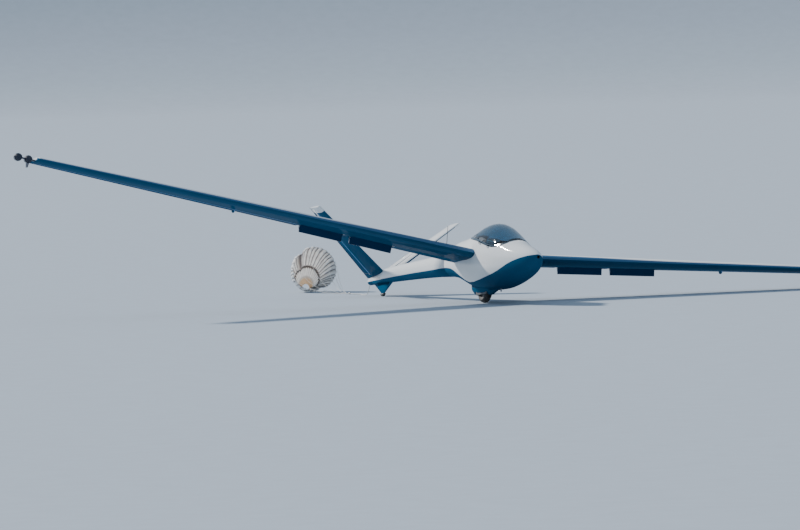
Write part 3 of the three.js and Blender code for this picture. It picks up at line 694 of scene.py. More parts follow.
@dataclass(frozen=True)
class RibbonCloth(Finish):
    """The drag parachute's thin cloth; the mesh says where the painted shade of creases and folds,
    the tan ring and seams are.
    """

    white: Colour = (0.93, 0.90, 0.85)
    tan: Colour = (0.62, 0.44, 0.28)
    stain: Colour = (0.46, 0.43, 0.40)
    # Dark colour laid into the creases and folds as painted shade.
    crease: Colour = (0.12, 0.11, 0.115)
    seam: Colour = (0.05, 0.048, 0.05)

    def lay(self, paint: Paint) -> None:
        """Sets the material's nodes.

        Args:
            paint: the material.
        """
        cloud, thread = paint.noise(9.0, 5.0), paint.noise(520.0, 2.0)
        colour = paint.mix(paint.attribute("ring"), self.white, self.tan)
        colour = paint.mix((cloud - 0.45).max(0.0) * 1.2, colour, self.stain)
        # Creases and folds are darkened as painted shade.
        colour = paint.mix(paint.attribute("crease_shade"), colour, self.crease)
        colour = paint.mix(paint.attribute("seam"), colour, self.seam)
        paint.set(
            Base_Color=colour,
            Roughness=0.7 + 0.2 * cloud,
            Sheen_Weight=0.2,
            Subsurface_Weight=0.8,
            Subsurface_Radius=(1.0, 0.92, 0.86),
            Subsurface_Scale=0.006,
        )
        paint.bump(thread + cloud, 0.0005, 0.5)


@dataclass(frozen=True)
class Sooty(Finish):
    """Dark paint that is burnt brown and grey towards the nozzle end."""

    back: float
    colour: Colour = (0.02, 0.028, 0.05)
    burnt: Colour = (0.055, 0.042, 0.034)
    ash: Colour = (0.16, 0.15, 0.14)

    def lay(self, paint: Paint) -> None:
        """Sets the material's nodes.

        Args:
            paint: the material.
        """
        cloud, grain = paint.noise(30.0, 5.0), paint.noise(300.0, 2.0)
        aft = paint.along(AIRFRAME.aft, AIRFRAME.nose) + (cloud - 0.5) * 0.05
        burnt = aft.over(self.back, 0.06)
        colour = paint.mix(burnt, self.colour, self.burnt)
        colour = paint.mix((cloud - 0.55).max(0.0) * 2.0, colour, self.ash)
        paint.set(Base_Color=colour, Metallic=0.35, Roughness=0.34 + 0.35 * burnt + 0.1 * grain)
        paint.bump(grain + cloud, 0.0002, 0.6)


@dataclass(frozen=True)
class Look:
    """A finish with its material's name and the record's slot."""

    finish: Finish
    material: str
    slot: str


METAL_WORN = (0.16, 0.15, 0.14)
SMOKED = Look(
    Satin((0.006, 0.028, 0.05), 0.12, grain=300.0, relief=0.00003, wear=0.05, coat=0.6),
    "smoked_rim", "canopy_frame",
)
PANE = Look(TintedPane(), "tinted_pane", "canopy_glass")
LAMINATE = Look(
    Satin((0.20, 0.21, 0.225), 0.55, grain=240.0, relief=0.0003, wear=0.3),
    "laminate", "cockpit_grey",
)
MATT_BLACK = Look(
    Satin((0.016, 0.016, 0.018), 0.6, grain=500.0, wear=0.12, worn=(0.12, 0.12, 0.12)),
    "matt_black", "panel_black",
)
DARK_METAL = Look(
    Satin((0.010, 0.018, 0.045), 0.3, 0.3, grain=260.0, wear=0.35, worn=METAL_WORN, coat=0.5),
    "dark_metal", "dark_fitting",
)
WHEEL_GREY = Look(
    Satin((0.11, 0.115, 0.125), 0.5, 0.3, grain=200.0, wear=0.4, worn=(0.10, 0.09, 0.08)),
    "wheel_grey", "wheel_grey",
)
DIAL_WHITE = Look(Satin((0.75, 0.75, 0.70), 0.6), "dial_white", "panel_black")
BLUE_GRIP = Look(Satin((0.015, 0.06, 0.30), 0.45), "blue_plastic", "panel_black")
STEEL = Look(BrushedSteel(), "swivel_steel", "steel")
BUCKLE_STEEL = Look(BrushedSteel((0.42, 0.43, 0.44)), "buckle_steel", "steel")
RUBBER = Look(Rubber(), "rubber", "skid_rubber")
WEBBING = Look(
    Weave((0.02, 0.05, 0.16), (0.05, 0.11, 0.27), threads=560.0, relief=0.0003),
    "webbing", "webbing",
)
PAD_COVER = Look(
    Weave((0.035, 0.045, 0.06), (0.07, 0.085, 0.11), threads=460.0, stain=0.2),
    "pad_cover", "cushion",
)
CORD = Look(
    Weave((0.62, 0.60, 0.56), (0.80, 0.78, 0.74), threads=380.0, sheen=0.2), "cord_white", "nylon"
)
CLOTH = Look(RibbonCloth(), "ribbon_cloth", "nylon")

_made: dict[str, bpy.types.Material] = {}


def dress(piece: Piece, finish: Finish, name: str) -> None:
    """Gives a piece one material all over.

    Args:
        piece: the piece.
        finish: the finish.
        name: the material's name; a name used before gives the same material.
    """
    if name not in _made:
        _made[name] = finish.build(name)
    piece.data.materials.clear()
    piece.data.materials.append(_made[name])


def finished(piece: Piece, look: Look, body: str = "airframe") -> Piece:
    """Dresses and attaches a finished piece.

    Args:
        piece: the piece.
        look: its look.
        body: the body it rides on.

    Returns:
        The piece.
    """
    dress(piece, look.finish, look.material)
    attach(piece, body)
    log.info("%s on %s", piece.name, body)
    return piece


# Modelling


def select_only(piece: Piece) -> None:
    """Makes one object the only one selected, and active.

    Args:
        piece: the object.
    """
    bpy.ops.object.select_all(action="DESELECT")
    piece.select_set(True)
    bpy.context.view_layer.objects.active = piece


def edit(piece: Piece, work: Callable[[], None]) -> None:
    """Runs edit mode operators on a piece, with all of it selected.

    Args:
        piece: the piece.
        work: calls the operators.
    """
    select_only(piece)
    bpy.ops.object.mode_set(mode="EDIT")
    bpy.ops.mesh.select_all(action="SELECT")
    work()
    bpy.ops.object.mode_set(mode="OBJECT")


def apply_modifiers(piece: Piece) -> None:
    """Applies all of a piece's modifiers, in order.

    Args:
        piece: the piece.
    """
    select_only(piece)
    for modifier in list(piece.modifiers):
        bpy.ops.object.modifier_apply(modifier=modifier.name)


def settle(piece: Piece) -> None:
    """Puts a piece's place, turn and scale into its mesh."""
    select_only(piece)
    bpy.ops.object.transform_apply(location=True, rotation=True, scale=True)


def smooth(piece: Piece, degrees: float) -> None:
    """Shades a piece smooth but for its edges sharper than degrees."""
    select_only(piece)
    bpy.ops.object.shade_smooth_by_angle(angle=math.radians(degrees))


def bevelled(piece: Piece, width: float, degrees: float = 35.0) -> None:
    """Rounds a piece's sharp edges.

    Args:
        piece: the piece.
        width: the bevel's width.
        degrees: the sharpest edge left as it is.
    """
    modifier = piece.modifiers.new("bevel", "BEVEL")
    modifier.width = width
    modifier.segments = 2
    modifier.limit_method = "ANGLE"
    modifier.angle_limit = math.radians(degrees)
    apply_modifiers(piece)


def thickened(piece: Piece, thick: float) -> None:
    """Gives a sheet its thickness, half to each side.

    Args:
        piece: the sheet.
        thick: the thickness.
    """
    solidify = piece.modifiers.new("thick", "SOLIDIFY")
    solidify.thickness = thick
    solidify.offset = 0
    apply_modifiers(piece)


def copied(
    node: str, name: str, degrees: float = 35.0, bevel: float = 0.0, flat: bool = False
) -> Piece:
    """Copies a CAD node as one merged, smooth piece that stands for it.

    Args:
        node: the CAD node.
        name: the piece's name.
        degrees: the sharpest edge that is shaded smooth.
        bevel: how far sharp edges are rounded.
        flat: whether to join level faces first.

    Returns:
        The piece.
    """
    source = frame["nodes"][node]
    piece = source.copy()
    piece.data = source.data.copy()
    piece.name = name
    piece.data.name = name
    piece.parent = None
    for modifier in list(piece.modifiers):
        piece.modifiers.remove(modifier)
    bpy.context.collection.objects.link(piece)

    def work() -> None:
        """Merges the loose triangles."""
        bpy.ops.mesh.remove_doubles(threshold=0.00002)
        if flat:
            bpy.ops.mesh.dissolve_limited(angle_limit=math.radians(0.6))
        bpy.ops.mesh.normals_make_consistent(inside=False)

    edit(piece, work)
    if bevel:
        bevelled(piece, bevel)
    smooth(piece, degrees)
    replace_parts(piece, node)
    return piece


def lathe(
    name: str,
    profile: Sequence[tuple[float, float]],
    place: Matrix = LEVEL,
    steps: int = 48,
    degrees: float = 0.0,
    closed: bool = True,
) -> Piece:
    """Spins a profile round an axis.

    Args:
        name: the piece's name.
        profile: the points, as radius and distance along the axis.
        place: puts the axis, Z at first, in its place.
        steps: how many faces go round.
        degrees: the sharpest edge that is shaded smooth, or 0 to leave the shading.
        closed: whether the profile's ends are joined.

    Returns:
        The piece.
    """
    bpy.ops.object.select_all(action="DESELECT")
    bpy.ops.mesh.primitive_circle_add(vertices=3, radius=0.01)
    piece = bpy.context.active_object
    piece.name = name
    course = [*profile, profile[0]] if closed else list(profile)

    def work() -> None:
        """Draws the profile one edge at a time, and spins it."""
        bpy.ops.mesh.merge(type="CENTER")
        bpy.ops.transform.translate(value=(course[0][0], 0, course[0][1]))
        for (r0, h0), (r1, h1) in zip(course, course[1:]):
            step = {"value": (r1 - r0, 0, h1 - h0)}
            bpy.ops.mesh.extrude_region_move(TRANSFORM_OT_translate=step)
        bpy.ops.mesh.select_all(action="SELECT")
        bpy.ops.mesh.spin(steps=steps, angle=math.tau, center=(0, 0, 0), axis=(0, 0, 1))
        bpy.ops.mesh.select_all(action="SELECT")
        bpy.ops.mesh.remove_doubles(threshold=0.00001)
        bpy.ops.mesh.normals_make_consistent(inside=False)

    edit(piece, work)
    piece.matrix_world = place
    settle(piece)
    if degrees:
        smooth(piece, degrees)
    return piece


def hex_bolt(radius: float, edge: float, top: float, height: float) -> Piece:
    """Makes a bolt head at the origin.

    Args:
        radius: its radius.
        edge: how far up its chamfer starts.
        top: the radius of its top.
        height: its height.

    Returns:
        The bolt head.
    """
    return lathe("bolt", [(0, 0), (radius, 0), (radius, edge), (top, height), (0, height)], steps=6)


def block(
    name: str, centre: Point, size: Point, bevel: float, turn: Matrix = LEVEL, segments: int = 3
) -> Piece:
    """Makes a rounded block.

    Args:
        name: the piece's name.
        centre: its middle.
        size: its length along each axis of turn.
        bevel: how far its edges are rounded.
        turn: its axes.
        segments: the bevel's steps.

    Returns:
        The piece.
    """
    bpy.ops.object.select_all(action="DESELECT")
    bpy.ops.mesh.primitive_cube_add(size=1)
    piece = bpy.context.active_object
    piece.name = name
    piece.matrix_world = Matrix.Translation(centre) @ turn @ Matrix.Diagonal((*size, 1))
    settle(piece)
    edit(piece, lambda: bpy.ops.mesh.bevel(offset=bevel, segments=segments, affect="EDGES"))
    smooth(piece, 40)
    return piece


def curve(name: str, line: Sequence[Vector], radius: float, sides: int) -> Piece:
    """Makes a round cord along a line.

    Args:
        name: the piece's name.
        line: its points.
        radius: its radius.
        sides: the bevel's resolution.

    Returns:
        The curve object.
    """
    data = bpy.data.curves.new(name, "CURVE")
    data.dimensions = "3D"
    data.bevel_depth = radius
    data.bevel_resolution = sides
    data.use_fill_caps = True
    spline = data.splines.new("POLY")
    spline.points.add(len(line) - 1)
    for point, place in zip(spline.points, line):
        point.co = (*place, 1)
    spline.use_smooth = True
    piece = bpy.data.objects.new(name, data)
    bpy.context.collection.objects.link(piece)
    return piece


def converted(piece: Piece, target: str) -> Piece:
    """Turns an object into a mesh or a curve.

    Args:
        piece: the object.
        target: MESH or CURVE.

    Returns:
        The new object.
    """
    select_only(piece)
    bpy.ops.object.convert(target=target)
    return bpy.context.active_object


def joined(name: str, pieces: Sequence[Piece]) -> Piece:
    """Joins pieces into one.

    Args:
        name: the whole's name.
        pieces: the pieces.

    Returns:
        The whole.
    """
    bpy.ops.object.select_all(action="DESELECT")
    for piece in pieces:
        piece.select_set(True)
    bpy.context.view_layer.objects.active = pieces[0]
    if len(pieces) > 1:
        bpy.ops.object.join()
    whole = bpy.context.active_object
    whole.name = name
    return whole


def repeated(source: Piece, places: Sequence[Matrix], name: str) -> Piece:
    """Copies a piece made at the origin to several places, as one piece.

    Args:
        source: the piece, which goes.
        places: where the copies go.
        name: the whole's name.

    Returns:
        The whole.
    """
    copies = []
    for place in places:
        copy = source.copy()
        copy.data = source.data.copy()
        bpy.context.collection.objects.link(copy)
        copy.matrix_world = place
        settle(copy)
        copies.append(copy)
    bpy.data.objects.remove(source)
    return joined(name, copies)


def strap(line: Sequence[Vector], across: Vector, width: float, thick: float) -> Piece:
    """Lays a flat web along a line.

    Args:
        line: the middle's points.
        across: the direction of the width.
        width: the web's width.
        thick: its thickness.

    Returns:
        The web.
    """
    steps = len(line) - 1
    bpy.ops.object.select_all(action="DESELECT")
    bpy.ops.mesh.primitive_grid_add(x_subdivisions=steps, y_subdivisions=4, size=1)
    piece = bpy.context.active_object
    for vertex in piece.data.vertices:
        middle = line[round((vertex.co.x + 0.5) * steps)]
        vertex.co = middle + across * (vertex.co.y * width)
    thickened(piece, thick)
    edit(piece, lambda: bpy.ops.mesh.normals_make_consistent(inside=False))
    bevelled(piece, thick * 0.3, 60)
    smooth(piece, 50)
    return piece


# Sub-assemblies


@dataclass
class Studio:
    """The camera, the pale floor and backdrop, and the soft light."""

    distance: float = 120.0
    frame_width: float = 10.502
    right_of_nose: float = -1.819
    over_nose: float = -0.119
    azimuth: float = 157.23
    elevation: float = 1.95
    roll: float = -1.57
    sensor: float = 36.0
    pale: Colour = (0.40, 0.47, 0.55)
    level_to: float = 150.0
    sweep: float = 30.0
    sky: Colour = (0.60, 0.76, 0.97)
    sky_strength: float = 0.62
    sun: Colour = (1.0, 0.96, 0.90)
    sun_strength: float = 5.2
    sun_spread: float = 3.0
    sun_from: Point = (-0.46, 0.70, 0.54)

    def camera(self) -> None:
        """Sets the camera ahead and to the right of the nose, a little above level and rolled."""
        turn, lift, roll = (math.radians(a) for a in (self.azimuth, self.elevation, self.roll))
        flat = math.cos(lift)
        back = Vector((math.sin(turn) * flat, -math.cos(turn) * flat, math.sin(lift)))
        level = Vector((-back.y, back.x, 0.0)).normalized()
        right = level * math.cos(roll) + back.cross(level) * math.sin(roll)
        over = back.cross(right)
        aim = AIRFRAME.nose + self.right_of_nose * right + self.over_nose * over
        data = bpy.data.cameras.new("camera")
        data.sensor_width = self.sensor
        data.lens = self.sensor * self.distance / self.frame_width
        data.clip_start, data.clip_end = 1.0, 900.0
        camera = bpy.data.objects.new("camera", data)
        bpy.context.collection.objects.link(camera)
        camera.location = aim + back * self.distance
        camera.rotation_euler = Matrix((right, over, back)).transposed().to_euler()
        bpy.context.scene.camera = camera
        log.info("camera at %s", [round(v, 3) for v in camera.location])

    def floor(self) -> None:
        """Makes the floor, which sweeps up into a backdrop all round."""
        profile = [(0.02, 0.0), (60.0, 0.0), (self.level_to, 0.0)]
        for step in range(1, 9):
            angle = math.radians(7.5 * step)
            out, up = self.sweep * math.sin(angle), self.sweep * (1 - math.cos(angle))
            profile.append((self.level_to + out, up))
        under = Matrix.Translation((0, 0, -0.0005))
        floor = lathe("floor", profile, under, 96, 60, closed=False)
        floor.visible_shadow = False
        dress(floor, Satin(self.pale, 0.9, grain=3.0, relief=0.0001, wear=0.0), "backdrop")

    def lights(self) -> None:
        """Makes an even pale sky and a soft sun."""
        world = bpy.data.worlds.new("sky")
        bpy.context.scene.world = world
        world.use_nodes = True
        background = world.node_tree.nodes["Background"]
        background.inputs[0].default_value = (*self.sky, 1)
        background.inputs[1].default_value = self.sky_strength
        sun = bpy.data.lights.new("sun", "SUN")
        sun.energy = self.sun_strength
        sun.angle = math.radians(self.sun_spread)
        sun.color = self.sun
        lamp = bpy.data.objects.new("sun", sun)
        bpy.context.collection.objects.link(lamp)
        left, aft, up = self.sun_from
        towards = left * AIRFRAME.left + aft * AIRFRAME.aft + up * AIRFRAME.up
        lamp.rotation_euler = towards.to_track_quat("Z", "Y").to_euler()

    def build(self) -> None:
        """Sets up the whole studio."""
        for work in (self.camera, self.floor, self.lights):
            work()


@dataclass
class DragParachute:
    """The riser, swivel, lines and gathered cloth that lie behind the tail."""

    riser_inner: tuple[Point, ...] = (
        (0, 5.4653, 0.080), (0, 5.512, 0.077), (0, 5.562, 0.062), (0, 5.601, 0.041),
    )
    riser_floor: tuple[Point, ...] = (
        (-0.002, 0.024, 0.140), (-0.005, 0.043, 0.112), (-0.009, 0.058, 0.076),
        (-0.013, 0.075, 0.040), (-0.018, 0.104, 0.014), (-0.022, 0.150, 0.0056),
        (-0.024, 0.210, 0.0054), (-0.016, 0.280, 0.0054), (0.008, 0.350, 0.0054),
        (0.036, 0.410, 0.0054), (0.048, 0.470, 0.0054), (0.036, 0.535, 0.0054),
        (0.012, 0.595, 0.0054), (-0.004, 0.640, 0.008), (-0.010, 0.676, 0.0136),
        (-0.010, 0.712, 0.0143),
    )
    riser_radius: float = 0.005
    fit: float = 0.0003
    swivel: tuple[tuple[float, float], ...] = (
        (0.0005, 0.0), (0.008, 0.0), (0.008, 0.008), (0.0115, 0.0085), (0.014, 0.011),
        (0.014, 0.0195), (0.0125, 0.021), (0.0125, 0.0235), (0.014, 0.025), (0.014, 0.033),
        (0.0115, 0.0355), (0.008, 0.036), (0.008, 0.044), (0.0005, 0.044),
    )
    knot_core: tuple[tuple[float, float], ...] = (
        (0.0005, 0.0), (0.006, 0.0), (0.0066, 0.004), (0.0066, 0.015), (0.005, 0.018),
        (0.0005, 0.018),
    )
    knot_long: float = 0.018
    knot_radius: float = 0.0062
    knot_turns: float = 4.5
    knot_cord: float = 0.0026
    line_count: int = 8
    line_radius: float = 0.002
    line_long: float = 1.37
    line_floor: float = 0.0025
    line_hang: tuple[tuple[float, float], ...] = (
        (0.2, 0.01), (0.45, 0.1), (0.7, 0.35), (0.88, 0.7), (1.0, 1.0),
    )
    mouth: float = 2.0
    squash: float = 0.86
    above: float = 0.001
    rings: tuple[tuple[float, float], ...] = (
        (0.0, 0.350), (0.06, 0.345), (0.14, 0.320), (0.22, 0.270), (0.29, 0.190),
        (0.33, 0.110), (0.345, 0.060),
    )
    gathers: int = 34
    columns: int = 8
    rows: int = 34
    cloth_thick: float = 0.0012
    least_inset: float = 0.004
    puff_inset: float = 0.020
    crease_inset: float = 0.010
    fold_inset: float = 0.034
    puff_forward: float = 0.018
    folds: tuple[float, float] = (12.0, 27.5)
    smallest: float = 0.046
    tan_within: float = 0.31
    seam_at: float = 0.56
    inner_seam_at: float = 0.33

    def __post_init__(self) -> None:
        """Finds where the riser, swivel and mouth are, and draws each gather's tilt and depth."""
        lip = AIRFRAME.at(*self.riser_inner[-1])
        self.route = [AIRFRAME.at(*p) for p in self.riser_inner]
        self.route += [Vector((lip.x - x, lip.y - y, z)) for x, y, z in self.riser_floor]
        self.start = self.route[-1]
        self.knot_from = self.behind(self.fit + self.swivel[-1][1] + self.fit)
        self.mouth_y = lip.y - self.mouth
        self.lengths = [0.0]
        for (b0, r0), (b1, r1) in zip(self.rings, self.rings[1:]):
            self.lengths.append(self.lengths[-1] + math.hypot(b1 - b0, r1 - r0))
        rng = random.Random(7)
        self.tilt = [rng.uniform(-1, 1) for _ in range(self.gathers)]
        self.depth = [rng.uniform(0.75, 1.2) for _ in range(self.gathers)]

    def behind(self, distance: float) -> Vector:
        """Gives a point behind the riser's end."""
        return self.start - ROW_Y * distance

    def on_ring(self, radius: float, angle: float, back: float) -> Vector:
        """Gives a point on a ring of the cloth.

        Args:
            radius: the ring's radius.
            angle: the place round it, 0 to the row's -X and a quarter turn up.
            back: how far behind the mouth it is.

        Returns:
            The point.
        """
        height = math.sin(angle) * (1.0 if math.sin(angle) > 0 else self.squash)
        centre = self.squash * radius + self.above
        x = self.start.x - radius * math.cos(angle)
        return Vector((x, self.mouth_y - back, centre + radius * height))

    def riser(self) -> Piece:
        """Makes the riser and its swivel.

        Returns:
            The riser.
        """
        line = rounded(self.route, 4)
        riser = finished(curve("riser", line, self.riser_radius, 5), CORD)
        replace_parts(riser, "drogue_riser")
        place = placed(self.behind(self.fit), -ROW_Y, ROW_X)
        swivel = lathe("riser_swivel", self.swivel, place, 40, 40)
        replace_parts(finished(swivel, STEEL), "drogue_swivel")
        length = sum((b - a).length for a, b in zip(line, line[1:]))
        return riser

    def knot(self) -> Piece:
        """Makes the knot that gathers the lines.

        Returns:
            The knot.
        """
        steps, ring = 60, self.knot_radius
        turns = []
        for step in range(steps + 1):
            angle = step * math.tau * self.knot_turns / steps
            along = self.knot_long * (0.14 + 0.72 * step / steps)
            turn = Vector((ring * math.cos(angle), -along, ring * math.sin(angle)))
            turns.append(self.knot_from + turn)
        whipping = converted(curve("line_knot", turns, self.knot_cord, 3), "MESH")
        core = lathe("core", self.knot_core, placed(self.knot_from, -ROW_Y, ROW_X), 24)
        knot = joined("line_knot", [whipping, core])
        smooth(knot, 50)
        return finished(knot, CORD)

    def lines(self) -> None:
        rim = self.rings[0][1] - 0.004
        knot_end = self.knot_from - ROW_Y * self.knot_long
        for i in range(self.line_count):
            angle = math.tau * (i + 0.5) / self.line_count
            end = self.on_ring(rim, angle, 0.0)
            start = knot_end + Vector((-0.003 * math.cos(angle), 0.004, 0.003 * math.sin(angle)))
            points = [start]
            for share, high in self.line_hang:
                point = start.lerp(end, share)
                point.z = self.line_floor + (end.z - self.line_floor) * high
                points.append(point)
            line = finished(curve(f"line_{i + 1}", rounded(points, 6), self.line_radius, 2), CORD)

    def gathered(self, u: float, v: float) -> tuple[Vector, dict[str, float]]:
        """Shapes one point of the cloth.

        Args:
            u: the place round the mouth, from 0 to 1.
            v: the place from the rim to the vent, from 0 to 1.

        Returns:
            The point, and its painted crease and fold shade, tan ring and seam.
        """
        place = v * self.lengths[-1]
        k = max(i for i in range(len(self.rings) - 1) if self.lengths[i] <= place + 1e-9)
        share = (place - self.lengths[k]) / (self.lengths[k + 1] - self.lengths[k])
        (b0, r0), (b1, r1) = self.rings[k], self.rings[k + 1]
        back, full = b0 + (b1 - b0) * share, r0 + (r1 - r0) * share
        turns = u * self.gathers
        i = int(turns) % self.gathers
        zone = full / self.rings[0][1]
        outer = max(0.0, min(1.0, (zone - 0.45) / 0.2))
        wave = math.sin(math.pi * (turns % 1.0)) ** 1.3
        wave *= 1 - 0.22 * math.sin(math.tau * (2.4 * v + self.tilt[i])) ** 2
        swell = math.sin(math.pi * min(1.0, v * 1.25 + 0.08))
        puff = wave * (0.35 + 0.65 * outer) * swell * self.depth[i]
        crease = (1 - wave) ** 3
        fold = max(math.exp(-((turns - f) ** 2) / 0.5) for f in self.folds) * outer
        inset = self.least_inset + self.puff_inset * (1 - puff) * outer
        inset += self.crease_inset * crease + self.fold_inset * fold
        uneven = u + 0.006 * math.sin(math.tau * 5 * u) + 0.004 * math.sin(math.tau * 11 * u + 1)
        angle = math.tau * (uneven + 0.25 * self.tilt[i] * wave / self.gathers * outer)
        radius = max(self.smallest, full - inset)
        point = self.on_ring(radius, angle, back - self.puff_forward * puff * outer - 0.006)
        point.z += self.squash * (full - radius)
        # Painted shade: darker in the creases, more so towards the rim, and darkest in the two big
        # folds.
        crease_shade = max(min(1.0, 1.3 * crease) * (0.45 + 0.55 * outer), fold)
        inner = 0.45 if abs(zone - self.inner_seam_at) < 0.02 else 0.0
        seam = 1.0 if abs(zone - self.seam_at) < 0.018 else inner
        return point, {"crease_shade": crease_shade, "ring": float(zone < self.tan_within), "seam": seam}

    def cloth(self) -> Piece:
        """Makes the cloth: gathered panels with dark tape seams round a vent.

        Returns:
            The cloth.
        """
        bpy.ops.object.select_all(action="DESELECT")
        bpy.ops.mesh.primitive_grid_add(
            x_subdivisions=self.gathers * self.columns, y_subdivisions=self.rows, size=1
        )
        piece = bpy.context.active_object
        piece.name = "drogue_cloth"
        for name in ("crease_shade", "ring", "seam"):
            piece.data.attributes.new(name, "FLOAT", "POINT")
        for vertex in piece.data.vertices:
            vertex.co, marks = self.gathered(vertex.co.x + 0.5, vertex.co.y + 0.5)
            for name, value in marks.items():
                piece.data.attributes[name].data[vertex.index].value = value

        def weld() -> None:
            """Closes the ring."""
            bpy.ops.mesh.remove_doubles(threshold=0.0001)
            bpy.ops.mesh.normals_make_consistent(inside=False)

        edit(piece, weld)
        log.info("cloth area %.3f m2", sum(polygon.area for polygon in piece.data.polygons))
        thickened(piece, self.cloth_thick)
        smooth(piece, 60)
        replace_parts(finished(piece, CLOTH), "drogue_canopy")
        return piece

    def build(self) -> None:
        """Builds the parachute."""
        riser = self.riser()
        knot = self.knot()
        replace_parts(knot, "drogue_lines")
        self.lines()
        cloth = self.cloth()


@dataclass
class Shell:
    """The coated outside: pod, boom, wings, tail and their moving panels."""

    degrees: float = 32.0
    plain: tuple[tuple[Zone, tuple[str, ...]], ...] = (
        (Zone.FUSELAGE, ("fuselage_pod", "tail_boom", "drogue_container", "wheel_fairing")),
        (Zone.WING, ("wing_left", "wing_right", "aileron_left", "aileron_right")),
        (Zone.BRAKE, ("airbrake_left_inner", "airbrake_left_outer")),
        (Zone.BRAKE, ("airbrake_right_inner", "airbrake_right_outer")),
        (Zone.TAIL, ("tailplane_left", "tailplane_right", "ruddervator_left", "ruddervator_right")),
        (Zone.FIN, ("ventral_fin",)),
    )

    def build(self) -> None:
        """Copies each node smooth and coats it."""
        for zone, nodes in self.plain:
            look = Look(Coat(zone), f"coat_{zone.value}", "coat")
            for node in nodes:
                body = node if node in frame["bodies"] else "airframe"
                finished(copied(node, f"{node}_skin", self.degrees), look, body)


@dataclass
class BubbleCanopy:
    """The one-piece canopy: dark rim, tinted pane, and the latch inside its left edge."""

    latch_at: Point = (0.262, 0.98, 0.205)
    arm: Point = (0.010, 0.052, 0.010)
    knob: tuple[tuple[float, float], ...] = (
        (0.0004, 0), (0.007, 0.001), (0.008, 0.009), (0.0004, 0.011),
    )

    def build(self) -> None:
        """Builds the canopy."""
        finished(copied("canopy_frame", "canopy_rim", 30), SMOKED, "canopy")
        finished(copied("canopy_glass", "canopy_pane", 50), PANE, "canopy")
        arm = block("arm", (0, 0, 0.012), self.arm, 0.003)
        knob = lathe("knob", self.knob, Matrix.Translation((0, 0.02, 0.016)), 20, 40)
        place = placed(AIRFRAME.at(*self.latch_at), -AIRFRAME.left, AIRFRAME.up)
        latch = repeated(joined("latch", [arm, knob]), [place], "canopy_latch")
        finished(latch, MATT_BLACK, "canopy")


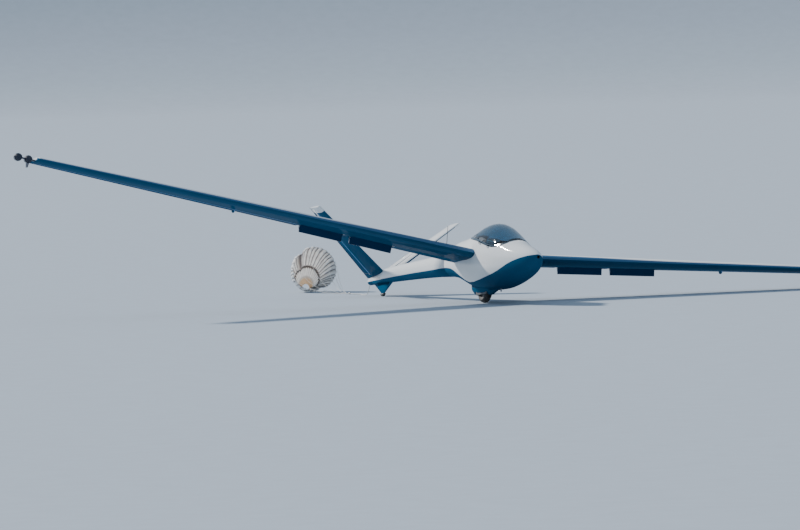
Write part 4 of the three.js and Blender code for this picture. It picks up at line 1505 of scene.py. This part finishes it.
@dataclass
class Cockpit:
    """What the pilot uses: seat, harness, headrest, panel, stick, pedals and airbrake lever."""

    seat_line: tuple[tuple[float, float], ...] = (
        (0.870, -0.236), (1.010, -0.278), (1.090, -0.284), (1.170, -0.248), (1.330, -0.060),
        (1.490, 0.125),
    )
    web: float = 0.045
    lap_web: float = 0.05
    lap_reach: float = 0.2
    thick: float = 0.0028
    shoulder_at: float = 0.07
    disc: tuple[tuple[float, float], ...] = (
        (0.0004, 0), (0.026, 0), (0.028, 0.002), (0.028, 0.008), (0.025, 0.0115),
        (0.016, 0.0125), (0.015, 0.0115), (0.0004, 0.0112),
    )
    bezel: tuple[tuple[float, float], ...] = (
        (0.78, 0.0), (1.0, 0.0), (1.06, 0.05), (1.06, 0.16), (1.0, 0.22), (0.86, 0.24),
        (0.80, 0.14),
    )
    screw: tuple[tuple[float, float], ...] = (
        (0.0, 0.02), (0.09, 0.02), (0.09, 0.08), (0.06, 0.11), (0.0, 0.11),
    )
    dials: tuple[tuple[float, float, float], ...] = (
        (-0.092, 0.118, 0.036), (0.0, 0.150, 0.028), (0.092, 0.118, 0.036),
        (-0.097, 0.032, 0.028), (0.097, 0.032, 0.028), (-0.060, -0.034, 0.020),
        (0.060, -0.034, 0.020),
    )
    panel_face: float = 0.830
    pad_centre: Point = (0, 1.5535, 0.218)
    pad_foot: float = 0.1306
    pad_shrink: float = 0.94
    pad_voxel: float = 0.006
    pad_cap: float = 0.006
    pad_pressure: float = 4.0
    pad_steps: int = 20
    piping_at: float = 1.542
    piping: float = 0.0022
    stick_foot: Point = (0, 0.968, -0.300)
    stick_top: Point = (0, 0.940, -0.020)
    lever_grip: Point = (0.25, 0.905, -0.040)

    def seat(self) -> None:
        """Dresses the seat, shelf and panel."""
        finished(copied("seat_pan", "seat_shell", 35, 0.002), LAMINATE)
        finished(copied("baggage_shelf", "shelf_and_bulkhead", 30), LAMINATE)
        finished(copied("instrument_panel", "panel_board", 30, 0.0015, True), MATT_BLACK)

    def seat_points(self, start: float, end: float, lift: float, across: float) -> list[Vector]:
        """Follows the seat's top line.

        Args:
            start: the first station.
            end: the last station.
            lift: how far over the seat.
            across: distance to the left.

        Returns:
            The points, in the row frame.
        """
        line = rounded([Vector((0, y, z)) for y, z in self.seat_line], 10)
        points = []
        for before, point, after in zip(line, line[1:], line[2:]):
            if start <= point.y <= end:
                along = (after - before).normalized()
                place = point + Vector((0, -along.z, along.y)) * lift
                points.append(AIRFRAME.at(across, place.y, place.z))
        return points

    def harness(self) -> None:
        """Lays the shoulder and lap webs."""
        webs = []
        for side in (-1, 1):
            line = self.seat_points(1.06, 1.478, 0.0042, side * self.shoulder_at)
            webs.append(strap(line, AIRFRAME.left, self.web, self.thick))
        lap = self.seat_points(1.105, 1.125, 0.0075, 0.0)
        middle, along = lap[0], (lap[-1] - lap[0]).normalized()
        across = [middle + AIRFRAME.left * (self.lap_reach * (i - 12) / 12) for i in range(25)]
        webs.append(strap(across, along, self.lap_web, self.thick))
        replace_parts(finished(joined("harness_webs", webs), WEBBING), "harness")
        self.buckle(middle, AIRFRAME.left.cross(along))
        self.adjusters()

    def buckle(self, middle: Vector, normal: Vector) -> None:
        """Makes the round buckle with its handle and four lugs.

        Args:
            middle: where it lies.
            normal: which way it faces.
        """
        parts = [
            lathe("disc", self.disc, steps=36, degrees=35),
            block("bar", (0, 0, 0.0125), (0.034, 0.006, 0.004), 0.001),
            block("bar", (0, 0, 0.0125), (0.006, 0.034, 0.004), 0.001),
        ]
        for x, y, turn in ((1, 0, 0.0), (-1, 0, 0.0), (0.72, 0.8, 0.9), (-0.72, 0.8, -0.9)):
            place = (0.034 * x, 0.034 * y, 0.003)
            size = (0.022, 0.030, 0.003)
            parts.append(block("lug", place, size, 0.001, Matrix.Rotation(turn, 4, "Z")))
        place = placed(middle + normal * 0.0015, normal, AIRFRAME.left)
        finished(repeated(joined("buckle", parts), [place], "harness_buckle"), BUCKLE_STEEL)

    def adjusters(self) -> None:
        """Makes a sliding adjuster on each shoulder web."""
        bars = ((0, -0.017), (0, 0.0), (0, 0.017))
        parts = [block("bar", (x, y, 0.0035), (0.056, 0.006, 0.004), 0.0012) for x, y in bars]
        for x in (-0.0265, 0.0265):
            parts.append(block("side", (x, 0, 0.0035), (0.005, 0.040, 0.004), 0.0012))
        places = []
        for side in (-1, 1):
            points = self.seat_points(1.25, 1.30, 0.0046, side * self.shoulder_at)
            along = (points[-1] - points[0]).normalized()
            places.append(placed(points[0], AIRFRAME.left.cross(along), AIRFRAME.left))
        finished(repeated(joined("slide", parts), places, "harness_adjusters"), BUCKLE_STEEL)

    def swell(self, pad: Piece) -> None:
        """Swells the pad by cloth simulation, by no more than the cap.

        Args:
            pad: the pad.
        """
        start = [vertex.co.copy() for vertex in pad.data.vertices]
        cloth = pad.modifiers.new("swell", "CLOTH")
        cloth.settings.use_pressure = True
        cloth.settings.uniform_pressure_force = self.pad_pressure
        cloth.settings.effector_weights.gravity = 0
        for step in range(1, self.pad_steps + 1):
            bpy.context.scene.frame_set(step)
        apply_modifiers(pad)
        bpy.context.scene.frame_set(1)
        for vertex, was in zip(pad.data.vertices, start):
            move = vertex.co - was
            if move.length > self.pad_cap:
                vertex.co = was + move * (self.pad_cap / move.length)

    def headrest(self) -> None:
        """Makes the headrest's soft pad from its solid, with a level foot."""
        pad = copied("headrest", "headrest_pad", 60)
        centre = Matrix.Translation(AIRFRAME.at(*self.pad_centre))
        pad.matrix_world = centre @ Matrix.Scale(self.pad_shrink, 4) @ centre.inverted()
        settle(pad)
        even = pad.modifiers.new("even", "REMESH")
        even.mode = "VOXEL"
        even.voxel_size = self.pad_voxel
        apply_modifiers(pad)
        self.swell(pad)
        foot = AIRFRAME.at(0, 0, self.pad_foot)
        for vertex in pad.data.vertices:
            sunk = (foot - vertex.co).dot(AIRFRAME.up)
            if sunk > -self.pad_voxel:
                vertex.co += AIRFRAME.up * sunk
        fine = pad.modifiers.new("fine", "SUBSURF")
        fine.levels = fine.render_levels = 1
        apply_modifiers(pad)
        smooth(pad, 80)
        finished(pad, PAD_COVER)
        self.welt(pad)

    def welt(self, pad: Piece) -> None:
        """Runs piping round the pad, just behind its front face.

        Args:
            pad: the pad.
        """
        welt = pad.copy()
        welt.data = pad.data.copy()
        welt.name = "headrest_piping"
        bpy.context.collection.objects.link(welt)
        plane = AIRFRAME.at(0, self.piping_at, 0.2)

        def work() -> None:
            """Keeps the line where a plane cuts the pad."""
            bpy.ops.mesh.bisect(
                plane_co=plane, plane_no=AIRFRAME.aft, clear_inner=True, clear_outer=True
            )

        edit(welt, work)
        welt = converted(welt, "CURVE")
        welt.data.bevel_depth = self.piping
        welt.data.bevel_resolution = 2
        welt = converted(welt, "MESH")
        smooth(welt, 70)
        finished(welt, WEBBING)

    def instruments(self) -> None:
        """Makes the dials: bezels with screws, dark faces, and white marks and needles."""
        ring = [lathe("ring", self.bezel, steps=40, degrees=35)]
        for x, y in ((1, 1), (-1, 1), (1, -1), (-1, -1)):
            place = Matrix.Translation((0.832 * x, 0.832 * y, 0))
            ring.append(lathe("screw", self.screw, place, 10))
        ring = joined("ring", ring)
        face = lathe("face", [(0.0, 0.02), (0.84, 0.02), (0.84, 0.06), (0.0, 0.06)], steps=32)
        ticks = []
        for degrees in range(0, 360, 30):
            angle = math.radians(degrees)
            centre = (0.68 * math.cos(angle), 0.68 * math.sin(angle), 0.07)
            size = (0.16 if degrees % 60 else 0.24, 0.035, 0.02)
            ticks.append(block("tick", centre, size, 0.006, Matrix.Rotation(angle, 4, "Z"), 1))
        slant = Matrix.Rotation(math.radians(-36), 4, "Z")
        ticks.append(block("needle", (0.22, -0.16, 0.09), (0.66, 0.05, 0.02), 0.008, slant, 1))
        ticks.append(lathe("boss", [(0.0, 0.06), (0.1, 0.06), (0.08, 0.12), (0.0, 0.12)], steps=16))
        marks = joined("marks", ticks)
        places = [
            placed(AIRFRAME.at(left, self.panel_face, up), AIRFRAME.aft, AIRFRAME.left)
            @ Matrix.Scale(size, 4)
            for left, up, size in self.dials
        ]
        finished(repeated(ring, places, "dial_bezels"), DARK_METAL)
        finished(repeated(face, places, "dial_faces"), MATT_BLACK)
        finished(repeated(marks, places, "dial_marks"), DIAL_WHITE)

    def stick(self) -> None:
        """Makes the stick with its grip, button and folded gaiter."""
        foot, top = AIRFRAME.at(*self.stick_foot), AIRFRAME.at(*self.stick_top)
        place = placed(foot, top - foot, AIRFRAME.left)
        long = (top - foot).length
        down = [(0.0004, 0.0), (0.008, 0.0), (0.0135, 0.006), (0.0145, 0.016)]
        down += [(0.0148 if step % 2 else 0.0130, 0.024 + 0.0095 * step) for step in range(9)]
        down += [(0.0150, 0.108), (0.0110, 0.112), (0.0088, 0.113)]
        grip = [(radius, long - depth) for radius, depth in down]
        grip += [(0.0088, 0.028), (0.0004, 0.028)]
        button = [(0.0004, 0), (0.005, 0), (0.005, 0.0015), (0.0004, 0.0025)]
        button = [(radius, long + height) for radius, height in button]
        parts = [lathe("grip", grip, place, 28, 40), lathe("button", button, place, 16)]
        stick = finished(joined("stick_and_grip", parts), MATT_BLACK)
        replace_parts(stick, "control_stick")
        folds = [(0.0090, 0.074)]
        for step in range(12):
            share = step / 11
            pleat = 0.0022 if step % 2 else -0.0012
            folds.append((0.0120 + 0.0185 * share + pleat, 0.071 - 0.046 * share))
        folds += [(0.0335, 0.024), (0.0335, 0.0215), (0.0090, 0.0215)]
        finished(lathe("stick_gaiter", folds, place, 36, 60), RUBBER)

    def levers(self) -> None:
        """Dresses the pedals and the airbrake lever, with its coloured grip."""
        finished(copied("rudder_pedals", "pedals", 30, 0.0012), STEEL)
        finished(copied("airbrake_lever", "brake_lever", 30), STEEL)
        profile = [(0.0142, 0.001), (0.0160, 0.004)]
        profile += [(0.0172 if step % 2 else 0.0160, 0.012 + 0.0085 * step) for step in range(10)]
        profile += [(0.0160, 0.096), (0.0142, 0.099)]
        place = placed(AIRFRAME.at(*self.lever_grip), AIRFRAME.aft, AIRFRAME.left)
        finished(lathe("brake_lever_grip", profile, place, 28, 40), BLUE_GRIP)

    def build(self) -> None:
        """Builds the cockpit."""
        self.seat()
        self.harness()
        self.headrest()
        self.instruments()
        self.stick()
        self.levers()


@dataclass
class LandingGear:
    """The main wheel with its tyre, hub, axle and box, the tow hook and the tail skid."""

    station: float = 1.66
    height: float = -0.35
    radius: float = 0.15
    rim: float = 0.076
    half: float = 0.05
    crown: float = 0.034
    bolt_ring: float = 0.050
    bolt_side: float = 0.0238
    valve: tuple[tuple[float, float], ...] = (
        (0.0, 0.0), (0.004, 0.0), (0.004, 0.010), (0.0028, 0.011), (0.0028, 0.016), (0.0, 0.016),
    )
    skid_side: float = 0.0168
    skid_height: float = -0.132
    skid_bolts: tuple[float, float] = (5.115, 5.165)

    def centre(self) -> Vector:
        """Gives the wheel's centre."""
        return AIRFRAME.at(0, self.station, self.height)

    def tyre(self) -> None:
        """Turns the tyre, with grooves round its crown and rings on its sides."""
        seat = [(self.rim + 0.0003, self.half * 0.62), (self.rim + 0.006, self.half * 0.70)]
        profile = [(radius, -along) for radius, along in seat]
        for step in range(57):
            angle = math.pi * (step - 28) / 56
            along = self.half * math.sin(angle)
            radius = self.radius - self.crown * (1 - math.cos(angle))
            if abs(along) < 0.034 and step % 4 == 0:
                radius -= 0.0028
            elif abs(along) > 0.045 and step % 3 == 0:
                radius -= 0.0012
            profile.append((radius, along))
        profile += reversed(seat)
        place = placed(self.centre(), AIRFRAME.left, AIRFRAME.up)
        tyre = finished(lathe("tyre_ribbed", profile, place, 84, 40), RUBBER, "wheel")
        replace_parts(tyre, "main_tyre")

    def hub(self) -> None:
        """Dresses the hub, and adds its bolts and valve."""
        finished(copied("wheel_hub", "hub", 30, 0.0012), WHEEL_GREY, "wheel")
        bolt = hex_bolt(0.0062, 0.004, 0.005, 0.005)
        smooth(bolt, 20)
        places = []
        for side in (-1, 1):
            for step in range(6):
                angle = math.tau * step / 6
                spoke = AIRFRAME.up * math.cos(angle) + AIRFRAME.aft * math.sin(angle)
                out = AIRFRAME.left * side
                foot = self.centre() + spoke * self.bolt_ring + out * self.bolt_side
                places.append(placed(foot, out, AIRFRAME.up))
        finished(repeated(bolt, places, "hub_bolts"), STEEL, "wheel")
        valve = lathe("valve", self.valve, steps=14, degrees=35)
        foot = self.centre() + AIRFRAME.up * 0.060 + AIRFRAME.left * 0.024
        place = placed(foot, AIRFRAME.left, AIRFRAME.up)
        finished(repeated(valve, [place], "tyre_valve"), MATT_BLACK, "wheel")

    def fixed(self) -> None:
        """Dresses the box, axle, tow hook and tail skid, and bolts the skid."""
        finished(copied("wheel_box", "wheel_well"), WHEEL_GREY)
        finished(copied("wheel_axle", "axle"), STEEL)
        finished(copied("tow_hook", "release_hook", 30, 0.001, True), STEEL)
        finished(copied("tail_skid", "tail_skid_shoe", 30, 0.003, True), RUBBER)
        bolt = hex_bolt(0.0055, 0.003, 0.004, 0.004)
        smooth(bolt, 20)
        places = [
            placed(
                AIRFRAME.at(side * self.skid_side, aft, self.skid_height),
                AIRFRAME.left * side,
                AIRFRAME.up,
            )
            for side in (-1, 1)
            for aft in self.skid_bolts
        ]
        finished(repeated(bolt, places, "skid_bolts"), STEEL)

    def build(self) -> None:
        """Builds the landing gear."""
        for work in (self.tyre, self.hub, self.fixed):
            work()


@dataclass
class WingTips:
    """The brackets at the wing tips, with their skids and smoke canisters."""

    across: float = 6.5373
    station: float = 1.6354
    height: float = 0.6248
    rise: float = 4.8
    radius: float = 0.044
    end: float = 0.030
    half: float = 0.062
    bead_at: float = 0.0315
    bead_deep: float = 0.0016
    clamp_at: float = 0.0515
    soot_from: float = 0.03
    canisters: tuple[tuple[str, float], ...] = (("inner", 0.087), ("outer", 0.230))

    def canister(self, name: str, place: Matrix) -> Piece:
        """Turns a canister with beads and a nozzle.

        Args:
            name: the piece's name.
            place: its middle, with Z aft.

        Returns:
            The canister.
        """
        side, end, half = self.radius, self.end, self.half
        shoulder, groove = half - (side - end), side - self.bead_deep
        bead = [(side, -0.0025), (groove, -0.0015), (groove, 0.0015), (side, 0.0025)]
        profile = [(0.0004, -half), (end, -half), (side, -shoulder)]
        for middle in (-self.bead_at, self.bead_at):
            profile += [(radius, middle + along) for radius, along in bead]
        profile += [(side, shoulder), (end, half), (0.018, half), (0.016, half - 0.004)]
        profile += [(0.014, half - 0.024), (0.0004, half - 0.026)]
        return lathe(name, profile, place, 48, 30)

    def build(self) -> None:
        """Builds both tips."""
        rise = math.radians(self.rise)
        sooty = Look(Sooty(self.station + self.soot_from), "sooty_paint", "dark_fitting")
        for side, name in ((1, "left"), (-1, "right")):
            origin = AIRFRAME.at(side * self.across, self.station, self.height)
            outward = AIRFRAME.left * (side * math.cos(rise)) + AIRFRAME.up * math.sin(rise)
            over = AIRFRAME.up * math.cos(rise) - AIRFRAME.left * (side * math.sin(rise))
            slant = (over - outward).normalized()
            finished(copied(f"tip_bracket_{name}", f"tip_carrier_{name}", 30, 0.0008), DARK_METAL)
            places = []
            for where, out in self.canisters:
                middle = origin + outward * out
                place = placed(middle, AIRFRAME.aft, over)
                piece = finished(self.canister(f"canister_{name}_{where}", place), sooty)
                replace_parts(piece, f"smoke_canister_{name}_{where}")
                places.append(placed(middle + slant * self.clamp_at, slant, AIRFRAME.aft))
            bolt = hex_bolt(0.0055, 0.005, 0.004, 0.006)
            lug = block("lug", (0, 0, 0.002), (0.024, 0.012, 0.005), 0.001)
            clamp = repeated(joined("clamp", [bolt, lug]), places, f"clamp_screws_{name}")
            smooth(clamp, 25)
            finished(clamp, STEEL)


@dataclass
class Fittings:
    """Small things on the hull: the nose vent, the aerial and the drag parachute's anchor."""

    aerial_foot: Point = (0, 3.070, 0.266)
    boot: tuple[tuple[float, float], ...] = (
        (0.0048, 0.0), (0.013, 0.0), (0.0125, 0.004), (0.008, 0.009), (0.0062, 0.022),
        (0.0052, 0.024),
    )

    def build(self) -> None:
        """Builds the fittings."""
        finished(copied("nose_vent", "nose_inlet", 30), MATT_BLACK)
        finished(copied("whip_antenna", "aerial", 30), MATT_BLACK)
        finished(copied("drogue_anchor", "parachute_anchor", 30, 0.001), STEEL)
        place = placed(AIRFRAME.at(*self.aerial_foot), AIRFRAME.up, AIRFRAME.left)
        finished(lathe("aerial_boot", self.boot, place, 28, 35), RUBBER)


ASSEMBLIES = (
    Studio, DragParachute, Shell, BubbleCanopy, Cockpit, LandingGear, WingTips, Fittings,
)


def main() -> None:
    """Builds the scene, piece by piece."""
    logging.basicConfig(level=logging.INFO, format="%(name)s: %(message)s")
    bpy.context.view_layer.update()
    for assembly in ASSEMBLIES:
        assembly().build()
        log.info("%s done", assembly.__name__)


if __name__ == "__main__":
    main()
